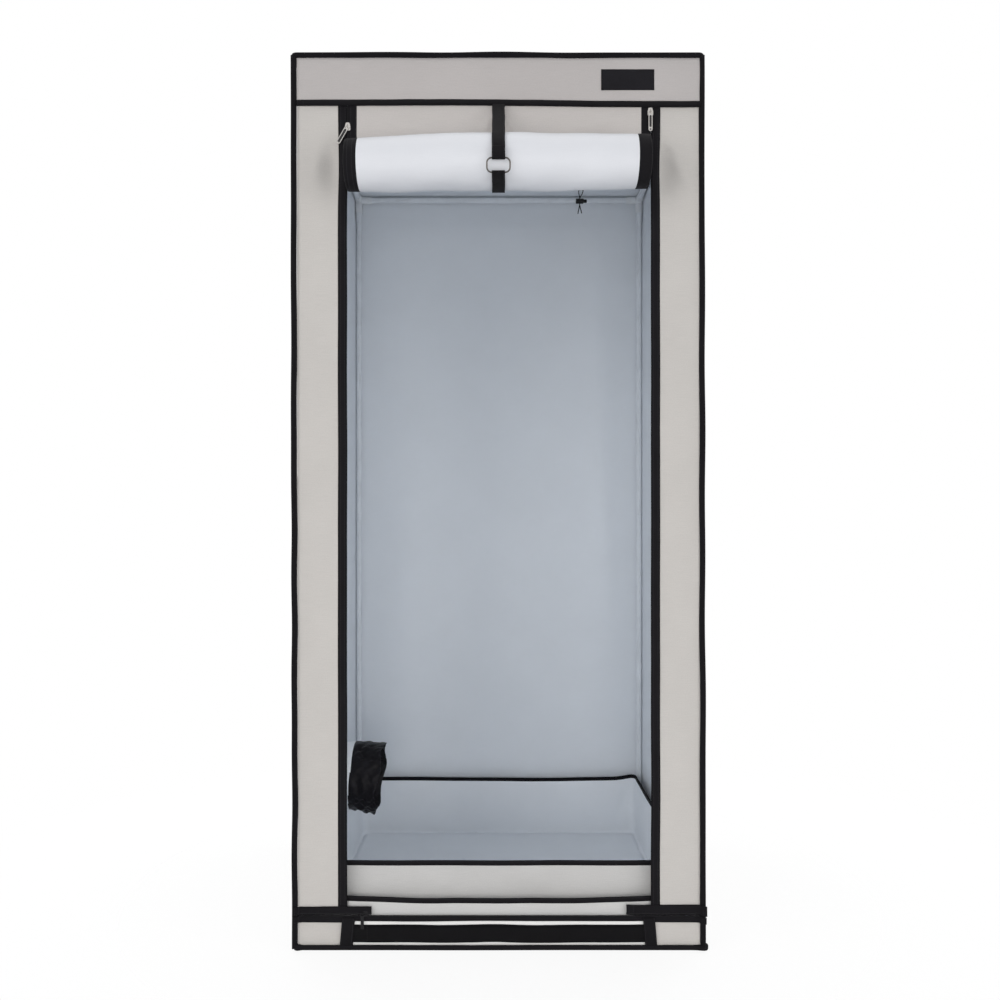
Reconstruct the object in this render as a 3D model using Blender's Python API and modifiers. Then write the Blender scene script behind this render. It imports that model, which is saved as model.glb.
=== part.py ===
"""Indoor grow tent: a sewn cloth cover over a plugged steel tube frame, with its door rolled up and strapped.

Metres, +Z up, the door side faces -Y. The origin is the centre of the underside of the floor panel.
"""

import math

import bmesh
import bpy
from mathutils import Matrix, Vector

# Overall sizes of the cover, without its bound seams
COVER_WIDTH = 0.810
COVER_DEPTH = 0.810
COVER_HEIGHT = 1.787
CLOTH = 0.002
CLEARANCE = 0.0003

# Frame tubes and corner connectors
TUBE_DIAMETER = 0.016
TUBE_WALL = 0.0009
TUBE_SIDES = 16
SOCKET_CLEARANCE = 0.0003
CONNECTOR_DIAMETER = 0.020
KNUCKLE_DIAMETER = 0.0206
ARM_ROOT = 0.0007
SOCKET_REACH = 0.036
SOCKET_BOTTOM = 0.012
SPIGOT_LENGTH = 0.040
SPIGOT_CLEARANCE = 0.0004
POST_JOINT_SHARE = 0.5

# Hanging bars with end hooks
BAR_FRONT_Y = -0.200
BAR_REAR_Y = 0.060
HOOK_WIDTH = 0.022
HOOK_PLUG_DIAMETER = 0.0196
HOOK_WALL = 0.0016
HOOK_CLEARANCE = 0.0004
HOOK_WRAP_DEGREES = 205
HOOK_PLUG_LENGTH = 0.022
HOOK_ARC_STEPS = 14

# Bound seams
BINDING_FOLD = 0.0150
BINDING_THICKNESS = 0.004
BINDING_GAP = 0.0006
UPRIGHT_TUCK_SHARE = 0.7
BINDING_CORNER_RADIUS = 0.0012
BASE_CORNER_RADIUS = 0.0034
HEADER_END_GAP = 0.0005
BASE_BINDING_HEIGHT = 0.009
BASE_BINDING_THICKNESS = 0.005
ARC_STEPS = 5

# Wall slackness
WALL_SLACK = 0.004
ROOF_SLACK = 0.002
OVERRUN = 0.010

# Front wall
DOOR_ZIP_X = 0.3032
ZIP_TAPE_WIDTH = 0.0190
ZIP_TAPE_THICKNESS = 0.0012
ZIP_BEAD = 0.0030
ZIP_HALF_GAP = 0.0012
BOTTOM_ZIP_Z = 0.0720
BOTTOM_ZIP_TAPE_HEIGHT = 0.0130
BOTTOM_STUB_REACH = 0.2550
HEADER_HEIGHT = 0.0840
HEADER_HEM_HEIGHT = 0.0117
HEADER_HEM_THICKNESS = 0.0040
SILL_TOP = 0.0587
SILL_FLAP_HALF_WIDTH = 0.2905
HOOK_STRIP_BOTTOM = 0.0160
HOOK_STRIP_HEIGHT = 0.0330
HOOK_STRIP_THICKNESS = 0.0012
LIGHT_FLAP_BOTTOM = 0.0300
LIGHT_FLAP_TOP = 0.0975
LIGHT_FLAP_HALF_WIDTH = 0.3060
LIGHT_FLAP_THICKNESS = 0.0010
LIGHT_FLAP_HEM_HEIGHT = 0.0110
LIGHT_FLAP_HEM_THICKNESS = 0.0016

# Rolled door
DOOR_BOTTOM_WHEN_CLOSED = 0.0750
ROLL_DROP = 0.2390
ROLL_RADIUS = 0.0560
ROLL_PITCH = 0.0053
ROLL_HALF_WIDTH = 0.2970
ROLL_STEPS_PER_TURN = 20
DOOR_NARROWING = 0.0200

# Door strap and its ring
STRAP_X = -0.0010
STRAP_WIDTH = 0.0250
STRAP_THICKNESS = 0.0016
STRAP_LIFT = 0.0004
STRAP_RETURN = 0.0200
STRAP_STEP_DEGREES = 9
RING_WIDTH = 0.0470
RING_HEIGHT = 0.0290
RING_WIRE = 0.0030
RING_CORNER_RADIUS = 0.0090
RING_ANGLE_DEGREES = 197
RING_LOOP_GAP = 0.0004
RING_WIRE_RESOLUTION = 2

# Zip sliders
SLIDER_LENGTH = 0.0160
SLIDER_WIDE_END = 0.0110
SLIDER_NARROW_END = 0.0080
SLIDER_PLATE = 0.0014
SLIDER_POST = 0.0016
SLIDER_POST_LENGTH = 0.0040
SLIDER_CLEARANCE = 0.0004
BRIDGE_WIRE = 0.0014
BRIDGE_SPAN = 0.0060
BRIDGE_RISE = 0.0033
LEFT_SLIDER_DROP = 0.1380
RIGHT_SLIDER_DROP = 0.1080
BOTTOM_SLIDER_X = -0.2705

# Zip pulls
PULL_LENGTH = 0.0400
PULL_WIDTH = 0.0080
PULL_THICKNESS = 0.0012
PULL_EYE_BAR = 0.0015
PULL_EYE_LENGTH = 0.0045
PULL_EYE_WIDTH = 0.0048
PULL_HOLE_DIAMETER = 0.0034
PULL_RIM = 0.0016
BOTTOM_PULL_LENGTH = 0.0310
BOTTOM_PULL_WIDTH = 0.0064
LEFT_PULL_CANT_DEGREES = 30

# Roof sleeve, gathered by its drawstring
ROOF_PORT_X = 0.2080
ROOF_PORT_Y = 0.1950
ROOF_PORT_RADIUS = 0.0740
SLEEVE_FLANGE = 0.0160
SLEEVE_WALL = 0.0014
SLEEVE_SIDES = 30
SLEEVE_PLEATS = 6
ROOF_SLEEVE_DROP = 0.0480
ROOF_NECK_X = 0.2137
ROOF_NECK_RADIUS = 0.0080
SEAT_MARGIN = 0.0001

# Share of the drop, of the port's radius beyond the neck, and of the radius that the folds take
ROOF_SLEEVE_SHARES = (
    (0.16, 0.92, 0.02),
    (0.34, 0.76, 0.05),
    (0.58, 0.45, 0.12),
    (0.78, 0.19, 0.20),
    (0.90, 0.05, 0.22),
    (1.00, 0.00, 0.22),
)

# Left wall sleeve
WALL_PORT_Y = -0.0300
WALL_PORT_Z = 0.2600
WALL_PORT_RADIUS = 0.0780
WALL_SLEEVE_REACH = 0.1160
WALL_SLEEVE_DROOP = 0.0060
WALL_SLEEVE_LEAN = 0.0100
WALL_SLEEVE_RIPPLE = 0.0028

# Share of the reach, share of the ripple and how many ripples go round
WALL_SLEEVE_SHARES = (
    (0.20, 0.2, 3),
    (0.42, 0.5, 3),
    (0.50, -0.6, 3),
    (0.62, 0.9, 5),
    (0.76, 0.5, 5),
    (0.88, 1.0, 5),
    (1.00, 0.6, 5),
)

# Drawstring and cord lock
CORD_DIAMETER = 0.0025
CORD_STEP = 0.0050
LOCK_LENGTH = 0.0200
LOCK_DIAMETER = 0.0130
LOCK_BORE_DIAMETER = 0.0096
LOCK_END_WALL = 0.0020
LOCK_DROP = 0.0820
CORD_ROUTE_ROOF = 1.7870
LOCK_CORD_X = 0.2103
LOCK_SIDES = 16
LOCK_RIM = 0.0010
BUTTON_CLEARANCE = 0.0003
BUTTON_STANDOUT = 0.0085
BUTTON_TRAVEL = 0.0040
CORD_SLOT_CLEARANCE = 0.0004

# Spill tray
TRAY_HEIGHT = 0.1650
TRAY_WALL = 0.0024
TRAY_SIDE_GAP = 0.0010
TRAY_CORNER_RADIUS = 0.0200
TRAY_FLOOR_RADIUS = 0.0080
TRAY_RIM_HEIGHT = 0.0120
TRAY_RIM_THICKNESS = 0.0012
TRAY_SLACK = 0.0030

BEIGE = (0.560, 0.535, 0.505)
LINING_WHITE = (0.760, 0.775, 0.800)
ROLL_WHITE = (0.780, 0.785, 0.800)
BINDING_BLACK = (0.012, 0.011, 0.014)
TUBE_WHITE = (0.800, 0.800, 0.790)
PLASTIC_BLACK = (0.020, 0.020, 0.022)
PLASTIC_WHITE = (0.720, 0.730, 0.740)
NICKEL = (0.620, 0.620, 0.610)

# Places worked out from the sizes above
HALF_WIDTH = COVER_WIDTH / 2
HALF_DEPTH = COVER_DEPTH / 2
TUBE_RADIUS = TUBE_DIAMETER / 2
CONNECTOR_RADIUS = CONNECTOR_DIAMETER / 2
SOCKET_RADIUS = TUBE_RADIUS + SOCKET_CLEARANCE
FLOOR_TOP = CLOTH
WALL_BOTTOM = FLOOR_TOP + CLEARANCE
ROOF_UNDERSIDE = COVER_HEIGHT - CLOTH
POST_X = HALF_WIDTH - CLOTH - 2 * CLEARANCE - CONNECTOR_RADIUS
POST_Y = HALF_DEPTH - CLOTH - 2 * CLEARANCE - CONNECTOR_RADIUS
LOW_RAIL_Z = FLOOR_TOP + 2 * CLEARANCE + CONNECTOR_RADIUS
HIGH_RAIL_Z = ROOF_UNDERSIDE - 2 * CLEARANCE - CONNECTOR_RADIUS
FRONT_FACE = -HALF_DEPTH
FRONT_MIDDLE = FRONT_FACE + CLOTH / 2
BASE_BINDING_TOP = BASE_BINDING_HEIGHT
FRONT_SKIN = FRONT_FACE - CLEARANCE
BOTTOM_TAPE_TOP = BOTTOM_ZIP_Z + ZIP_HALF_GAP + BOTTOM_ZIP_TAPE_HEIGHT
STRIP_INNER_X = DOOR_ZIP_X + ZIP_HALF_GAP + ZIP_TAPE_WIDTH + CLEARANCE
DOOR_HALF_WIDTH = DOOR_ZIP_X - ZIP_HALF_GAP
DOOR_TOP = COVER_HEIGHT - CLEARANCE
ROLL_CENTRE_Y = FRONT_MIDDLE - ROLL_RADIUS
HEADER_BACK = FRONT_MIDDLE - ZIP_BEAD / 2 - CLEARANCE
HEADER_BOTTOM = COVER_HEIGHT - HEADER_HEIGHT
HEM_BOTTOM = HEADER_BOTTOM - HEADER_HEM_HEIGHT
ROLL_CENTRE_Z = COVER_HEIGHT - ROLL_DROP
LEFT_SLIDER_Z = COVER_HEIGHT - LEFT_SLIDER_DROP
RIGHT_SLIDER_Z = COVER_HEIGHT - RIGHT_SLIDER_DROP
LOCK_Z = COVER_HEIGHT - LOCK_DROP
PLATE_INNER = ZIP_BEAD / 2 + SLIDER_CLEARANCE
PULL_PLANE = PLATE_INNER + SLIDER_PLATE + CLEARANCE + math.hypot(PULL_EYE_BAR, PULL_THICKNESS) / 2
HOOK_STRIP_FRONT = FRONT_SKIN - CLOTH - CLEARANCE - HOOK_STRIP_THICKNESS
BOTTOM_PULL_Y = HOOK_STRIP_FRONT - CLEARANCE - PULL_THICKNESS / 2
BOTTOM_BRIDGE_TOP = FRONT_MIDDLE - BOTTOM_PULL_Y + PULL_THICKNESS / 2 + 2 * CLEARANCE + BRIDGE_WIRE / 2
BOTTOM_PULL_LIFT = (PULL_EYE_BAR + BRIDGE_WIRE) / 2 + CLEARANCE
TRAY_HALF_WIDTH = POST_X - CONNECTOR_RADIUS - TRAY_SIDE_GAP
TRAY_HALF_DEPTH = POST_Y - CONNECTOR_RADIUS - TRAY_SIDE_GAP
TRAY_FLOOR_Z = FLOOR_TOP + CLEARANCE

# The two strands of the drawstring, from the gathered neck through the cord lock to their ends
CORD_LEFT_ROUTE = (
    (0.2074, 0.1950, 1.7370),
    (0.2075, 0.1949, 1.7330),
    (0.2079, 0.1944, 1.7250),
    (0.2093, 0.1938, 1.7180),
    (0.2102, 0.1935, 1.7125),
    (0.2103, 0.1935, 1.7050),
    (0.2103, 0.1935, 1.6985),
    (0.2098, 0.1934, 1.6935),
    (0.2084, 0.1932, 1.6860),
    (0.2066, 0.1929, 1.6780),
    (0.2056, 0.1926, 1.6716),
)
CORD_RIGHT_ROUTE = (
    (0.2199, 0.1950, 1.7370),
    (0.2196, 0.1951, 1.7330),
    (0.2171, 0.1956, 1.7250),
    (0.2130, 0.1962, 1.7180),
    (0.2105, 0.1965, 1.7125),
    (0.2103, 0.1965, 1.7050),
    (0.2103, 0.1965, 1.6985),
    (0.2109, 0.1966, 1.6935),
    (0.2126, 0.1968, 1.6860),
    (0.2144, 0.1971, 1.6795),
    (0.2152, 0.1973, 1.6742),
)

for old in list(bpy.data.objects):
    bpy.data.objects.remove(old)

PARTS = bpy.data.collections.new("grow_tent")
CUTTERS = bpy.data.collections.new("cutters")
bpy.context.scene.collection.children.link(PARTS)
bpy.context.scene.collection.children.link(CUTTERS)


def finish(name, colour, roughness, metallic=0.0):
    """A Principled material of one colour."""
    made = bpy.data.materials.new(name)
    made.use_nodes = True
    shader = made.node_tree.nodes["Principled BSDF"]
    shader.inputs["Base Color"].default_value = (*colour, 1.0)
    shader.inputs["Roughness"].default_value = roughness
    shader.inputs["Metallic"].default_value = metallic
    return made


SHELL = finish("shell_cloth", BEIGE, 0.85)
LINING = finish("white_lining", ROLL_WHITE, 0.6)
TRAY_CLOTH = finish("tray_cloth", LINING_WHITE, 0.6)
BINDING = finish("binding_tape", BINDING_BLACK, 0.9)
STEEL = finish("coated_tube", TUBE_WHITE, 0.35)
PLASTIC = finish("black_plastic", PLASTIC_BLACK, 0.45)
PALE_PLASTIC = finish("white_plastic", PLASTIC_WHITE, 0.45)
METAL = finish("nickel", NICKEL, 0.25, 1.0)
WEBBING = finish("webbing", BINDING_BLACK, 0.8)
SLEEVE_CLOTH = finish("sleeve_cloth", BINDING_BLACK, 0.7)


def place(name, data, material=None, cutter=False):
    """An object of this data in the parts, or among the cutters, which are not part of the tent."""
    obj = bpy.data.objects.new(name, data)
    (CUTTERS if cutter else PARTS).objects.link(obj)
    if cutter:
        obj.hide_render = True
        obj.display_type = "WIRE"
    if material:
        data.materials.append(material)
    return obj


def mesh_of(name, work, material=None, cutter=False):
    """An object of a finished bmesh, with its normals out."""
    bmesh.ops.recalc_face_normals(work, faces=work.faces)
    data = bpy.data.meshes.new(name)
    work.to_mesh(data)
    work.free()
    return place(name, data, material, cutter)


def box(name, low, high, material=None, cutter=False):
    """A block between two corners."""
    low, high = Vector(low), Vector(high)
    work = bmesh.new()
    bmesh.ops.create_cube(work, size=1)
    bmesh.ops.scale(work, vec=high - low, verts=work.verts)
    bmesh.ops.translate(work, vec=(low + high) / 2, verts=work.verts)
    return mesh_of(name, work, material, cutter)


def rod(name, start, end, radius, sides, material=None, cutter=False):
    """A solid cylinder between two points."""
    start, end = Vector(start), Vector(end)
    work = bmesh.new()
    bmesh.ops.create_cone(
        work,
        cap_ends=True,
        segments=sides,
        radius1=radius,
        radius2=radius,
        depth=(end - start).length,
    )
    turn = (end - start).to_track_quat("Z", "Y").to_matrix().to_4x4()
    bmesh.ops.transform(work, matrix=Matrix.Translation((start + end) / 2) @ turn, verts=work.verts)
    return mesh_of(name, work, material, cutter)


def combine(obj, other, operation):
    """Joins or cuts obj with other, which then goes to the cutters."""
    step = obj.modifiers.new(operation.lower() + "_" + other.name, "BOOLEAN")
    step.operation = operation
    step.object = other
    step.solver = "EXACT"
    return obj


def settle(obj):
    """Makes obj's evaluated shape its own mesh in the shared frame, and drops its modifiers and welded doubles."""
    bpy.context.view_layer.update()
    graph = bpy.context.evaluated_depsgraph_get()
    baked = bpy.data.meshes.new_from_object(obj.evaluated_get(graph))
    work = bmesh.new()
    work.from_mesh(baked)
    bmesh.ops.transform(work, matrix=obj.matrix_world, verts=work.verts)
    bmesh.ops.remove_doubles(work, verts=work.verts, dist=CLEARANCE / 100)
    bmesh.ops.recalc_face_normals(work, faces=work.faces)
    work.to_mesh(baked)
    work.free()
    made = bpy.data.objects.new(obj.name + "_settled", baked)
    for owner in obj.users_collection:
        owner.objects.link(made)
    made.hide_render = obj.hide_render
    name = obj.name
    bpy.data.objects.remove(obj)
    made.name = name
    return made


def fused(obj, others, operation="UNION"):
    """obj with the others joined to it, or cut from it, as one settled mesh. The others are removed."""
    for other in others:
        combine(obj, other, operation)
    made = settle(obj)
    for other in others:
        bpy.data.objects.remove(other)
    return made


def set_origin(obj, point):
    """Moves the origin of a settled object to this point and leaves its shape where it is."""
    obj.data.transform(Matrix.Translation(-Vector(point)))
    obj.location = point


def turned(name, profile, material, steps=TUBE_SIDES):
    """A closed profile of (radius, height) points turned about local Z."""
    work = bmesh.new()
    rim = [work.verts.new((radius, 0, height)) for radius, height in profile]
    for first, second in zip(rim, rim[1:] + rim[:1]):
        work.edges.new((first, second))
    data = bpy.data.meshes.new(name)
    work.to_mesh(data)
    work.free()
    obj = place(name, data, material)
    screw = obj.modifiers.new("turn", "SCREW")
    screw.axis = "Z"
    screw.steps = steps
    screw.render_steps = steps
    screw.use_merge_vertices = True
    screw.merge_threshold = 0.0001
    return obj


def tube(name, start, end, material):
    """A plain open tube of the frame between two points."""
    start, end = Vector(start), Vector(end)
    inner = TUBE_RADIUS - TUBE_WALL
    length = (end - start).length
    profile = ((TUBE_RADIUS, length), (TUBE_RADIUS, 0), (inner, 0), (inner, length))
    obj = turned(name, profile, material)
    obj.location = start
    obj.rotation_euler = (end - start).to_track_quat("Z", "Y").to_euler()
    return obj


def outline(name, loops, thickness, material=None, cutter=False):
    """A flat outline, with any holes, as thick as given about its own plane."""
    data = bpy.data.curves.new(name, "CURVE")
    data.dimensions = "2D"
    data.fill_mode = "BOTH"
    data.extrude = thickness / 2
    for loop in loops:
        spline = data.splines.new("POLY")
        spline.points.add(len(loop) - 1)
        spline.use_cyclic_u = True
        for point, (across, along) in zip(spline.points, loop):
            point.co = (across, along, 0, 1)
    return place(name, data, material, cutter)


def wire(name, points, thickness, material, closed=False, resolution=1):
    """A round wire through these points, in the object's own frame."""
    data = bpy.data.curves.new(name, "CURVE")
    data.dimensions = "3D"
    data.bevel_depth = thickness / 2
    data.bevel_resolution = resolution
    data.use_fill_caps = True
    spline = data.splines.new("POLY")
    spline.points.add(len(points) - 1)
    spline.use_cyclic_u = closed
    for point, where in zip(spline.points, points):
        point.co = (*where, 1)
    return place(name, data, material)


def taped_loop(name, path, section, material):
    """A closed level path that carries a flat section, whose first coordinate points outwards and second up."""
    form = bpy.data.curves.new(name + "_section", "CURVE")
    form.dimensions = "2D"
    spline = form.splines.new("POLY")
    spline.points.add(len(section) - 1)
    spline.use_cyclic_u = True
    for point, (out, up) in zip(spline.points, section):
        point.co = (out, up, 0, 1)
    guide = place(name + "_section", form, None, True)
    data = bpy.data.curves.new(name, "CURVE")
    data.dimensions = "3D"
    data.twist_mode = "Z_UP"
    data.bevel_mode = "OBJECT"
    data.bevel_object = guide
    line = data.splines.new("POLY")
    line.points.add(len(path) - 1)
    line.use_cyclic_u = True
    for point, where in zip(line.points, path):
        point.co = (*where, 1)
    made = settle(place(name, data, material))
    bpy.data.objects.remove(guide)
    return made


def arc(centre, radius, start, end, steps):
    """Points on an arc, from start to end degrees."""
    made = []
    for step in range(steps + 1):
        angle = math.radians(start + (end - start) * step / steps)
        made.append((centre[0] + radius * math.cos(angle), centre[1] + radius * math.sin(angle)))
    return made


def stadium(width, length, steps=ARC_STEPS):
    """A flat outline with round ends along its second coordinate."""
    radius = width / 2
    reach = length / 2 - radius
    return arc((0, reach), radius, 0, 180, steps) + arc((0, -reach), radius, 180, 360, steps)


def rounded_rectangle(half_width, half_depth, radius, steps=ARC_STEPS):
    """The points of a level rectangle with round corners, anticlockwise."""
    across, along = half_width - radius, half_depth - radius
    made = []
    for start, centre in ((0, (across, along)), (90, (-across, along)), (180, (-across, -along)), (270, (across, -along))):
        made += arc(centre, radius, start, start + 90, steps)
    return made


def turned_section(points, degrees, shift):
    """A section turned about its own centre and then moved."""
    cos, sin = math.cos(math.radians(degrees)), math.sin(math.radians(degrees))
    return [(x * cos - y * sin + shift[0], x * sin + y * cos + shift[1]) for x, y in points]


def loft(name, loops, material, ring=False):
    """A skin through loops of equal count, closed round on itself as a ring or capped at both ends."""
    work = bmesh.new()
    rows = [[work.verts.new(point) for point in loop] for loop in loops]
    count = len(rows[0])
    pairs = list(zip(rows, rows[1:] + rows[:1])) if ring else list(zip(rows, rows[1:]))
    for first, second in pairs:
        for index in range(count):
            after = (index + 1) % count
            work.faces.new((first[index], first[after], second[after], second[index]))
    if not ring:
        work.faces.new(rows[0])
        work.faces.new(rows[-1])
    return mesh_of(name, work, material)


def ribbon(name, path, half_widths, middle_x, thickness, material):
    """A band that runs along X between its edges and follows a path of (y, z) points, as thick as given."""
    work = bmesh.new()
    rows = []
    for (along, up), half in zip(path, half_widths):
        left = work.verts.new((middle_x - half, along, up))
        right = work.verts.new((middle_x + half, along, up))
        rows.append((left, right))
    for first, second in zip(rows, rows[1:]):
        work.faces.new((first[0], first[1], second[1], second[0]))
    obj = mesh_of(name, work, material)
    shell = obj.modifiers.new("thickness", "SOLIDIFY")
    shell.thickness = thickness
    shell.offset = 0
    shell.use_even_offset = True
    return obj


def hang(slack, a, b):
    """How far a slack panel hangs inwards at shares a and b of its half width and half height."""
    return slack * (1 - a * a) * (1 - b * b) * (0.7 + 0.3 * math.cos(math.pi * (2 * a + b)))


def seat(slack, a, b, spread_a, spread_b):
    """How far in a flat collar must lie to clear the slack panel all round a port."""
    deepest = 0.0
    for step in range(SLEEVE_SIDES):
        angle = 2 * math.pi * step / SLEEVE_SIDES
        deepest = max(deepest, hang(slack, a + spread_a * math.cos(angle), b + spread_b * math.sin(angle)))
    return deepest + SEAT_MARGIN


def cloth_panel(name, centre, across, up, width, height, slack, cuts, material):
    """A sewn panel, flat along its edges, whose middle hangs slack along its inward normal in two soft folds."""
    centre, across, up = Vector(centre), Vector(across), Vector(up)
    inward = across.cross(up)
    work = bmesh.new()
    bmesh.ops.create_grid(work, x_segments=cuts[0], y_segments=cuts[1], size=1)
    for vert in work.verts:
        a, b = vert.co.x, vert.co.y
        vert.co = centre + across * (a * width / 2) + up * (b * height / 2) + inward * hang(slack, a, b)
    obj = mesh_of(name, work, material)
    shell = obj.modifiers.new("thickness", "SOLIDIFY")
    shell.thickness = CLOTH
    shell.offset = 0
    return obj


def drill(obj, start, end, radius):
    """Cuts a round port through a panel and settles it."""
    cutter = rod(obj.name + "_port", start, end, radius, SLEEVE_SIDES, None, True)
    return fused(obj, [cutter], "DIFFERENCE")


def make_frame():
    """Posts, rails and corner connectors."""
    seat = SOCKET_BOTTOM + CLEARANCE
    low, high = LOW_RAIL_Z + seat, HIGH_RAIL_Z - seat
    joint = low + (high - low) * POST_JOINT_SHARE
    inner = TUBE_RADIUS - TUBE_WALL
    spigot = inner - SPIGOT_CLEARANCE
    for side_x, x in (("left", -POST_X), ("right", POST_X)):
        for side_y, y in (("front", -POST_Y), ("rear", POST_Y)):
            length = joint - low
            profile = (
                (spigot, length + SPIGOT_LENGTH),
                (spigot, length + TUBE_WALL),
                (TUBE_RADIUS, length - TUBE_WALL),
                (TUBE_RADIUS, 0),
                (inner, 0),
                (inner, length - 2 * TUBE_WALL),
                (spigot - TUBE_WALL, length),
                (spigot - TUBE_WALL, length + SPIGOT_LENGTH),
            )
            lower = turned(f"post_lower_{side_y}_{side_x}", profile, STEEL)
            lower.location = (x, y, low)
            seam = joint + TUBE_WALL + CLEARANCE
            tube(f"post_upper_{side_y}_{side_x}", (x, y, seam), (x, y, high), STEEL)
    for level, z in (("bottom", LOW_RAIL_Z), ("top", HIGH_RAIL_Z)):
        for side, y in (("front", -POST_Y), ("rear", POST_Y)):
            tube(f"{level}_rail_{side}", (-POST_X + seat, y, z), (POST_X - seat, y, z), STEEL)
        for side, x in (("left", -POST_X), ("right", POST_X)):
            tube(f"{level}_rail_{side}", (x, -POST_Y + seat, z), (x, POST_Y - seat, z), STEEL)


def make_connector_mesh():
    """A three-way corner with its sockets along local +X, +Y and +Z."""
    ways = (Vector((1, 0, 0)), Vector((0, 1, 0)), Vector((0, 0, 1)))
    work = bmesh.new()
    bmesh.ops.create_uvsphere(work, u_segments=TUBE_SIDES, v_segments=TUBE_SIDES // 2, radius=KNUCKLE_DIAMETER / 2)
    body = mesh_of("corner", work, PALE_PLASTIC)
    arms = [rod(f"arm_{i}", -way * ARM_ROOT, way * SOCKET_REACH, CONNECTOR_RADIUS, TUBE_SIDES) for i, way in enumerate(ways)]
    body = fused(body, arms)
    bores = []
    for i, way in enumerate(ways):
        mouth = way * (SOCKET_REACH + OVERRUN)
        bores.append(rod(f"bore_{i}", way * SOCKET_BOTTOM, mouth, SOCKET_RADIUS, TUBE_SIDES))
    return fused(body, bores, "DIFFERENCE")


def make_connectors():
    """Eight connectors that share one mesh, each turned so that its sockets face into the frame."""
    pattern = make_connector_mesh()
    for level, z, arm_z in (("bottom", LOW_RAIL_Z, 1), ("top", HIGH_RAIL_Z, -1)):
        for side_x, x, arm_x in (("left", -POST_X, 1), ("right", POST_X, -1)):
            for side_y, y, arm_y in (("front", -POST_Y, 1), ("rear", POST_Y, -1)):
                obj = place(f"corner_{level}_{side_y}_{side_x}", pattern.data)
                if arm_x * arm_y * arm_z > 0:
                    turn = Matrix(((arm_x, 0, 0), (0, arm_y, 0), (0, 0, arm_z)))
                else:
                    turn = Matrix(((0, arm_x, 0), (arm_y, 0, 0), (0, 0, arm_z)))
                obj.rotation_euler = turn.to_euler()
                obj.location = (x, y, z)
    bpy.data.objects.remove(pattern)


def make_hanging_bar(name, y):
    """A tube with a moulded hook at each end that wraps over the side rail, as one piece."""
    inner = TUBE_RADIUS + HOOK_CLEARANCE
    outer = inner + HOOK_WALL
    spread = HOOK_WRAP_DEGREES / 2
    reach = POST_X - outer - HOOK_WALL / 2
    bar = rod(name, (-reach, y, HIGH_RAIL_Z), (reach, y, HIGH_RAIL_Z), TUBE_RADIUS, TUBE_SIDES, STEEL)
    pieces = []
    for side, x in (("left", -POST_X), ("right", POST_X)):
        rim = arc((0, 0), outer, 90 - spread, 90 + spread, HOOK_ARC_STEPS)
        rim += arc((0, 0), inner, 90 + spread, 90 - spread, HOOK_ARC_STEPS)
        hook = outline(f"{name}_hook_{side}", [rim], HOOK_WIDTH)
        hook.location = (x, y, HIGH_RAIL_Z)
        hook.rotation_euler = (math.pi / 2, 0, 0)
        pieces.append(settle(hook))
        toward = -math.copysign(1, x)
        near = x + toward * (outer - HOOK_WALL / 2)
        far = near + toward * HOOK_PLUG_LENGTH
        pieces.append(rod(f"{name}_plug_{side}", (near, y, HIGH_RAIL_Z), (far, y, HIGH_RAIL_Z), HOOK_PLUG_DIAMETER / 2, TUBE_SIDES))
    bore = rod(f"{name}_bore", (-POST_X, y, HIGH_RAIL_Z), (POST_X, y, HIGH_RAIL_Z), TUBE_RADIUS - TUBE_WALL, TUBE_SIDES)
    set_origin(fused(fused(bar, pieces), [bore], "DIFFERENCE"), (0, y, HIGH_RAIL_Z))


def make_panels():
    """Floor, roof, two sides and back, each a panel of its own that meets its neighbours at the bound seams."""
    floor_x, floor_y = HALF_WIDTH - CLEARANCE, HALF_DEPTH - CLEARANCE
    box("floor_panel", (-floor_x, -floor_y, 0), (floor_x, floor_y, FLOOR_TOP), SHELL)
    inner_width = COVER_WIDTH - 2 * (CLOTH + CLEARANCE)
    inner_depth = COVER_DEPTH - 2 * (CLOTH + CLEARANCE)
    roof_z = COVER_HEIGHT - CLOTH / 2
    roof = cloth_panel("roof_panel", (0, 0, roof_z), (-1, 0, 0), (0, 1, 0), inner_width, inner_depth, ROOF_SLACK, (10, 10), SHELL)
    port = (ROOF_PORT_X, ROOF_PORT_Y)
    drill(roof, (*port, ROOF_UNDERSIDE - OVERRUN), (*port, COVER_HEIGHT + OVERRUN), ROOF_PORT_RADIUS)
    height = COVER_HEIGHT - WALL_BOTTOM
    middle = WALL_BOTTOM + height / 2
    side_x = HALF_WIDTH - CLOTH / 2
    back_y = HALF_DEPTH - CLOTH / 2
    left = cloth_panel(
        "left_side_panel", (-side_x, 0, middle), (0, 1, 0), (0, 0, 1), COVER_DEPTH, height, WALL_SLACK, (8, 14), SHELL
    )
    wall_port = (WALL_PORT_Y, WALL_PORT_Z)
    drill(left, (-HALF_WIDTH - OVERRUN, *wall_port), (-HALF_WIDTH + OVERRUN, *wall_port), WALL_PORT_RADIUS)
    cloth_panel("right_side_panel", (side_x, 0, middle), (0, -1, 0), (0, 0, 1), COVER_DEPTH, height, WALL_SLACK, (8, 14), SHELL)
    cloth_panel("back_panel", (0, back_y, middle), (1, 0, 0), (0, 0, 1), inner_width, height, WALL_SLACK, (8, 14), SHELL)


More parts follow.
